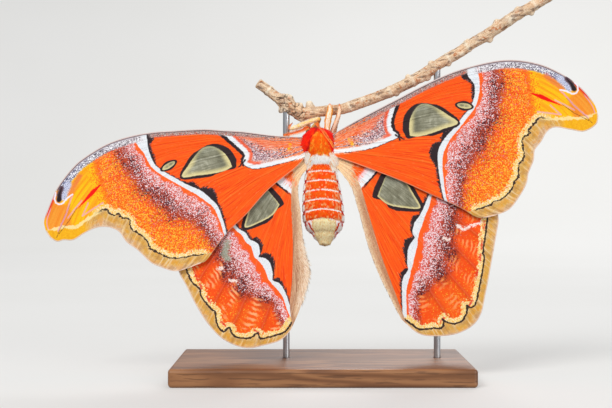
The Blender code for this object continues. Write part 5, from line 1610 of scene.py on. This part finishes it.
# Points of a leg, its grip on the branch (x and angles round it), and radii from root to end
LEGS = {
    "leg_middle_right": {
        "route": [(0.0036, -0.0010, 0.1050), (0.0046, 0.0002, 0.1092), (0.0061, -0.0004, 0.1130),
                  (0.0073, -0.0008, 0.1160)],
        "grip": (0.0079, (-12, 6, 24, 42)), "radii": (0.0009, 0.0010, 0.0009, 0.0008, 0.0006, 0.0003)},
    "leg_front_right": {
        "route": [(0.0014, -0.0034, 0.1060), (0.0022, -0.0028, 0.1095), (0.0025, -0.0024, 0.1130),
                  (0.0030, -0.0020, 0.1158)],
        "grip": (0.0036, (-8, 12, 35, 60)), "radii": (0.0012, 0.0014, 0.0015, 0.0013, 0.0009, 0.0003)},
    "leg_front_left": {
        "route": [(-0.0050, 0.0000, 0.1030), (-0.0066, 0.0052, 0.1058), (-0.0052, 0.0070, 0.1100),
                  (-0.0022, 0.0026, 0.1136), (-0.0014, -0.0016, 0.1150), (-0.0040, -0.0028, 0.1143),
                  (-0.0080, -0.0030, 0.1128), (-0.0118, -0.0030, 0.1112), (-0.0141, -0.0028, 0.1107),
                  (-0.0143, -0.0026, 0.1119), (-0.0134, -0.0024, 0.1130)],
        "radii": (0.0009, 0.0009, 0.0010, 0.0012, 0.0012, 0.0008, 0.0003)},
    "leg_middle_left": {
        "route": [(-0.0044, 0.0000, 0.1006), (-0.0058, 0.0070, 0.1032), (-0.0060, 0.0106, 0.1085),
                  (-0.0060, 0.0114, 0.1138)],
        "grip": (-0.0062, (195, 175, 155, 135)), "radii": LEG_RADII},
    "leg_hind_right": {
        "route": [(0.0010, 0.0000, 0.0995), (0.0036, 0.0080, 0.1010), (0.0054, 0.0112, 0.1085),
                  (0.0066, 0.0114, 0.1138)],
        "grip": (0.0076, (200, 180, 160, 140)), "radii": LEG_RADII},
    "leg_hind_left": {
        "route": [(-0.0022, 0.0000, 0.0990), (-0.0016, 0.0084, 0.1000), (-0.0022, 0.0118, 0.1060),
                  (-0.0018, 0.0118, 0.1130)],
        "grip": (-0.0016, (200, 180, 160, 140)), "radii": LEG_RADII},
}
LEG_SIDES = 14
LEG_SKIN = 0.78                  # the skin's share of a leg's radius, under its hair
LEG_JOINTS = (0.30, 0.62, 0.80, 0.86, 0.92)      # swellings along a leg
JOINT_SWELL = 0.18
JOINT_WIDTH = 0.018              # of a swelling, as a part of the leg
LEG_BARE = 0.80                  # the coat thins out past this part of a leg
LEG_HAIRS = 1500
LEG_PALE = {"leg_front_right": ((255, 250, 240), (255, 140, 30)),    # pale and warm colours
            "leg_front_left": ((255, 248, 226), (255, 176, 60)),
            "leg_middle_right": ((255, 228, 204), (255, 184, 136))}
LEG_PLAIN = ((255, 226, 196), (246, 150, 86))
CLAW_LENGTH = 0.0008
CLAW_RADIUS = 0.00013
CLAW_SUNK = 0.0001               # how deep a claw's root sits in the leg
CLAW_SPREAD = 0.35


def leg_path(leg):
    """A leg's path with the radius at each point, ending in its grip if it has one."""
    points = list(leg["route"])
    stops = np.linspace(0, 1, len(leg["radii"]))
    if "grip" in leg:
        x, angles = leg["grip"]
        z, bark = (np.interp(x, *np.array(BRANCH_AXIS)[:, (0, k)].T) for k in (1, 2))
        last = len(points) + len(angles) - 1
        parts = np.arange(len(points), last + 1) / last
        for angle, radius in zip(angles, np.interp(parts, stops, leg["radii"])):
            turn = math.radians(angle)
            reach = bark + BARK_ROUGHNESS + radius * 0.8 + NODE_GAP
            points.append((x, BRANCH_Y - reach * math.cos(turn), z + reach * math.sin(turn)))
    path = smooth_path(points, 8)
    return path, np.interp(np.linspace(0, 1, len(path)), stops, leg["radii"])


def make_leg(name, leg):
    """A leg: jointed skin and the hair along it. Gives its path."""
    path, radii = leg_path(leg)
    part = np.linspace(0, 1, len(path))
    swell = LEG_SKIN
    for joint in LEG_JOINTS:
        swell = swell * (1 + JOINT_SWELL * np.exp(-((part - joint) / JOINT_WIDTH) ** 2))
    skin = tube(path, radii * swell, LEG_SIDES)
    pale, warm = LEG_PALE.get(name, LEG_PLAIN)
    tarsus = rise(part, LEG_BARE - 0.06, LEG_BARE + 0.04)
    base = blend(blend(pale, warm, 0.75), (216, 112, 66), np.repeat(tarsus, LEG_SIDES))
    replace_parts(coated(f"{name}_skin", skin, base, 0.5, "leg_fur"), name)
    place = scattered(skin, LEG_HAIRS)
    roots, out = place
    nearest = np.argmin(np.linalg.norm(path - roots[:, None], axis=2), axis=1)
    spot = part[nearest]
    lengths = rng.uniform(0.0008, 0.0014, LEG_HAIRS) * (radii[nearest] / 0.0012)
    lengths *= 1 - 0.65 * rise(spot, LEG_BARE - 0.08, LEG_BARE + 0.05)
    mix = 0.35 * rng.uniform(0, 1, LEG_HAIRS) + 0.75 * rise(np.abs(out[:, 0]), 0.45, 0.85)
    colours = blend(blend(pale, warm, mix), (222, 120, 76), tarsus[nearest] * 0.8)
    make_coat(f"{name}_coat", "leg_fur", place, heading_of(path)[nearest], colours,
              columns(around(out), 0.02 + 0.96 * spot), lengths, (0.00012, 0.0002), (0.25, 0.5))
    return path


def make_claws(name, path, material):
    """Two curved claws at a leg's end."""
    heading = unit(path[-1] - path[-3])
    across = unit(np.cross(heading, (0.0, 1.0, 0.2)))
    down = np.cross(across, heading)
    t = np.linspace(0, 1, 7)[:, None]
    claws = []
    for way in (-CLAW_SPREAD, CLAW_SPREAD):
        hook = heading * np.sin(t * 1.4) + across * way * t + down * 0.35 * t ** 2
        curve = path[-1] - heading * CLAW_SUNK + CLAW_LENGTH * hook
        claws.append(tube(curve, CLAW_RADIUS * (1 - 0.85 * t), 6))
    mesh_object(f"{name}_claws", *merged(claws), material, "leg_fur")


def claw_paint():
    """Glossy red-brown horn."""
    p = Paint("claw", 0.3)
    p.colour = p.place().noise(1500.0).shades(((0.3, (110, 34, 18)), (0.7, (176, 66, 30))))
    return p.done()


# ------------------------------------------------------------------ stand and eyes


def wood_paint():
    """Oiled wood with grain along the base."""
    p = Paint("stand_wood", 0.42, Coat_Weight=0.15, Coat_Roughness=0.3)
    bend = p.place().fibres((14.0, 30.0, 30.0)) * 0.6
    rings = ((p.place().fibres((6.0, 60.0, 60.0)) + bend) * 40.0).math("SINE")
    pores = p.place().fibres((60.0, 900.0, 900.0), 3.0, 0.6)
    p.colour = rings.shades(((-1.0, (120, 76, 44)), (0.0, (140, 92, 56)), (1.0, (158, 108, 68))))
    p.over((84, 50, 28), pores.below(0.42, 0.1) * 0.6)
    p.bump(pores, 0.15, 0.0002)
    return p.done()


def steel_paint():
    """Brushed steel."""
    p = Paint("stand_steel", 0.34, Metallic=1.0)
    brushed = p.place().fibres((2600.0, 2600.0, 60.0), 3.0)
    p.colour = brushed.shades(((0.3, (176, 178, 182)), (0.7, (206, 208, 211))))
    p.bump(brushed, 0.08, 0.0001)
    return p.done()


def eye_paint():
    """A dark faceted eye."""
    p = Paint("eye", 0.22, Coat_Weight=0.6, Coat_Roughness=0.1)
    facets = p.place().node("ShaderNodeTexVoronoi", {"Vector": p.place(), "Scale": 9000.0}, "Distance")
    p.colour = facets.shades(((0.0, (46, 30, 22)), (0.7, (14, 9, 7))))
    p.bump(facets, 0.15, 0.00005)
    return p.done()


def finish_nodes():
    """Materials for the stand's nodes, which stay, and a smooth ball for each eye."""
    wood, steel, eye = wood_paint(), steel_paint(), eye_paint()
    for name, material in (("stand_base", wood), ("stand_rod_1", steel), ("stand_rod_2", steel)):
        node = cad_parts[name]
        node.data.materials.clear()
        node.data.materials.append(material)
    for name in ("eye_left", "eye_right"):
        points, _, triangles = surface(joined_nodes((name,), 0.0))
        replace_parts(mesh_object(f"{name}_ball", points, triangles, eye, "eye"), name)


# ------------------------------------------------------------------ floor, light and camera


def make_floor():
    """A pale floor that curves up into a wall all round."""
    profile = [(0.001, 0.0), (FLOOR_FLAT, 0.0)]
    for turn in np.linspace(0, math.pi / 2, 13)[1:]:
        profile.append((FLOOR_FLAT + FLOOR_CURVE * math.sin(turn), FLOOR_CURVE * (1 - math.cos(turn))))
    profile.append((FLOOR_FLAT + FLOOR_CURVE, WALL_TOP))
    ring = range(FLOOR_SIDES)
    turns = [2 * math.pi * i / FLOOR_SIDES for i in ring]
    points = [(radius * math.cos(turn), radius * math.sin(turn), z)
              for radius, z in profile for turn in turns]
    faces = []
    for start in range(0, len(points) - FLOOR_SIDES, FLOOR_SIDES):
        for i in ring:
            a, b = start + i, start + (i + 1) % FLOOR_SIDES
            faces.append((a, b, b + FLOOR_SIDES, a + FLOOR_SIDES))
    faces.append(ring)
    mesh = bpy.data.meshes.new("floor")
    mesh.from_pydata(points, [], faces)
    mesh.shade_smooth()
    p = Paint("floor_paper", 0.9, Emission_Color=rgba((240, 240, 238)), Emission_Strength=FLOOR_GLOW)
    p.colour = p.place().noise(3.0).shades(((0.3, (186, 185, 182)), (0.7, (190, 189, 187))))
    mesh.materials.append(p.done())
    floor = bpy.data.objects.new("floor", mesh)
    bpy.context.scene.collection.objects.link(floor)
    floor.visible_diffuse = False
    floor.visible_shadow = False
    floor.visible_glossy = False


def make_studio():
    """Sky, soft square lights aimed at the moth, floor and camera."""
    scene = bpy.context.scene
    scene.world = bpy.data.worlds.new("sky")
    scene.world.use_nodes = True
    sky = scene.world.node_tree.nodes["Background"].inputs
    sky[0].default_value = rgba(SKY)
    sky[1].default_value = SKY_STRENGTH
    scene.view_settings.view_transform = "Standard"
    for name, (spot, size, power) in LIGHTS.items():
        light = bpy.data.lights.new(name, "AREA")
        light.size = size
        light.energy = power
        lamp = bpy.data.objects.new(name, light)
        lamp.location = spot
        lamp.rotation_euler = (Vector(LIGHT_AIM) - Vector(spot)).to_track_quat("-Z", "Y").to_euler()
        scene.collection.objects.link(lamp)
    make_floor()
    camera = bpy.data.cameras.new("camera")
    camera.sensor_width = SENSOR
    camera.lens = CAMERA_LENS
    camera.clip_start = 0.01
    holder = bpy.data.objects.new("camera", camera)
    holder.location = CAMERA_SPOT
    holder.rotation_euler = (math.pi / 2, 0, 0)
    scene.collection.objects.link(holder)
    scene.camera = holder


# ------------------------------------------------------------------ the whole

make_studio()
for kind in KINDS:
    scales = wing_paint(kind)
    for side in SIDES:
        make_wing(kind, side, scales)
flesh = make_flesh()
for dress in (thorax_coat, abdomen_coat, side_tufts, base_tufts, face_tuft):
    dress(flesh)
make_palp("left", -1)
make_palp("right", 1)
for side in SIDES:
    for kind in KINDS:
        wing_hair(kind, side)
    fold_hair(side)
make_branch()
feeler = antenna_paint()
for side in SIDES:
    make_antenna(side, feeler)
horn = claw_paint()
for name, leg in LEGS.items():
    make_claws(name, make_leg(name, leg), horn)
finish_nodes()
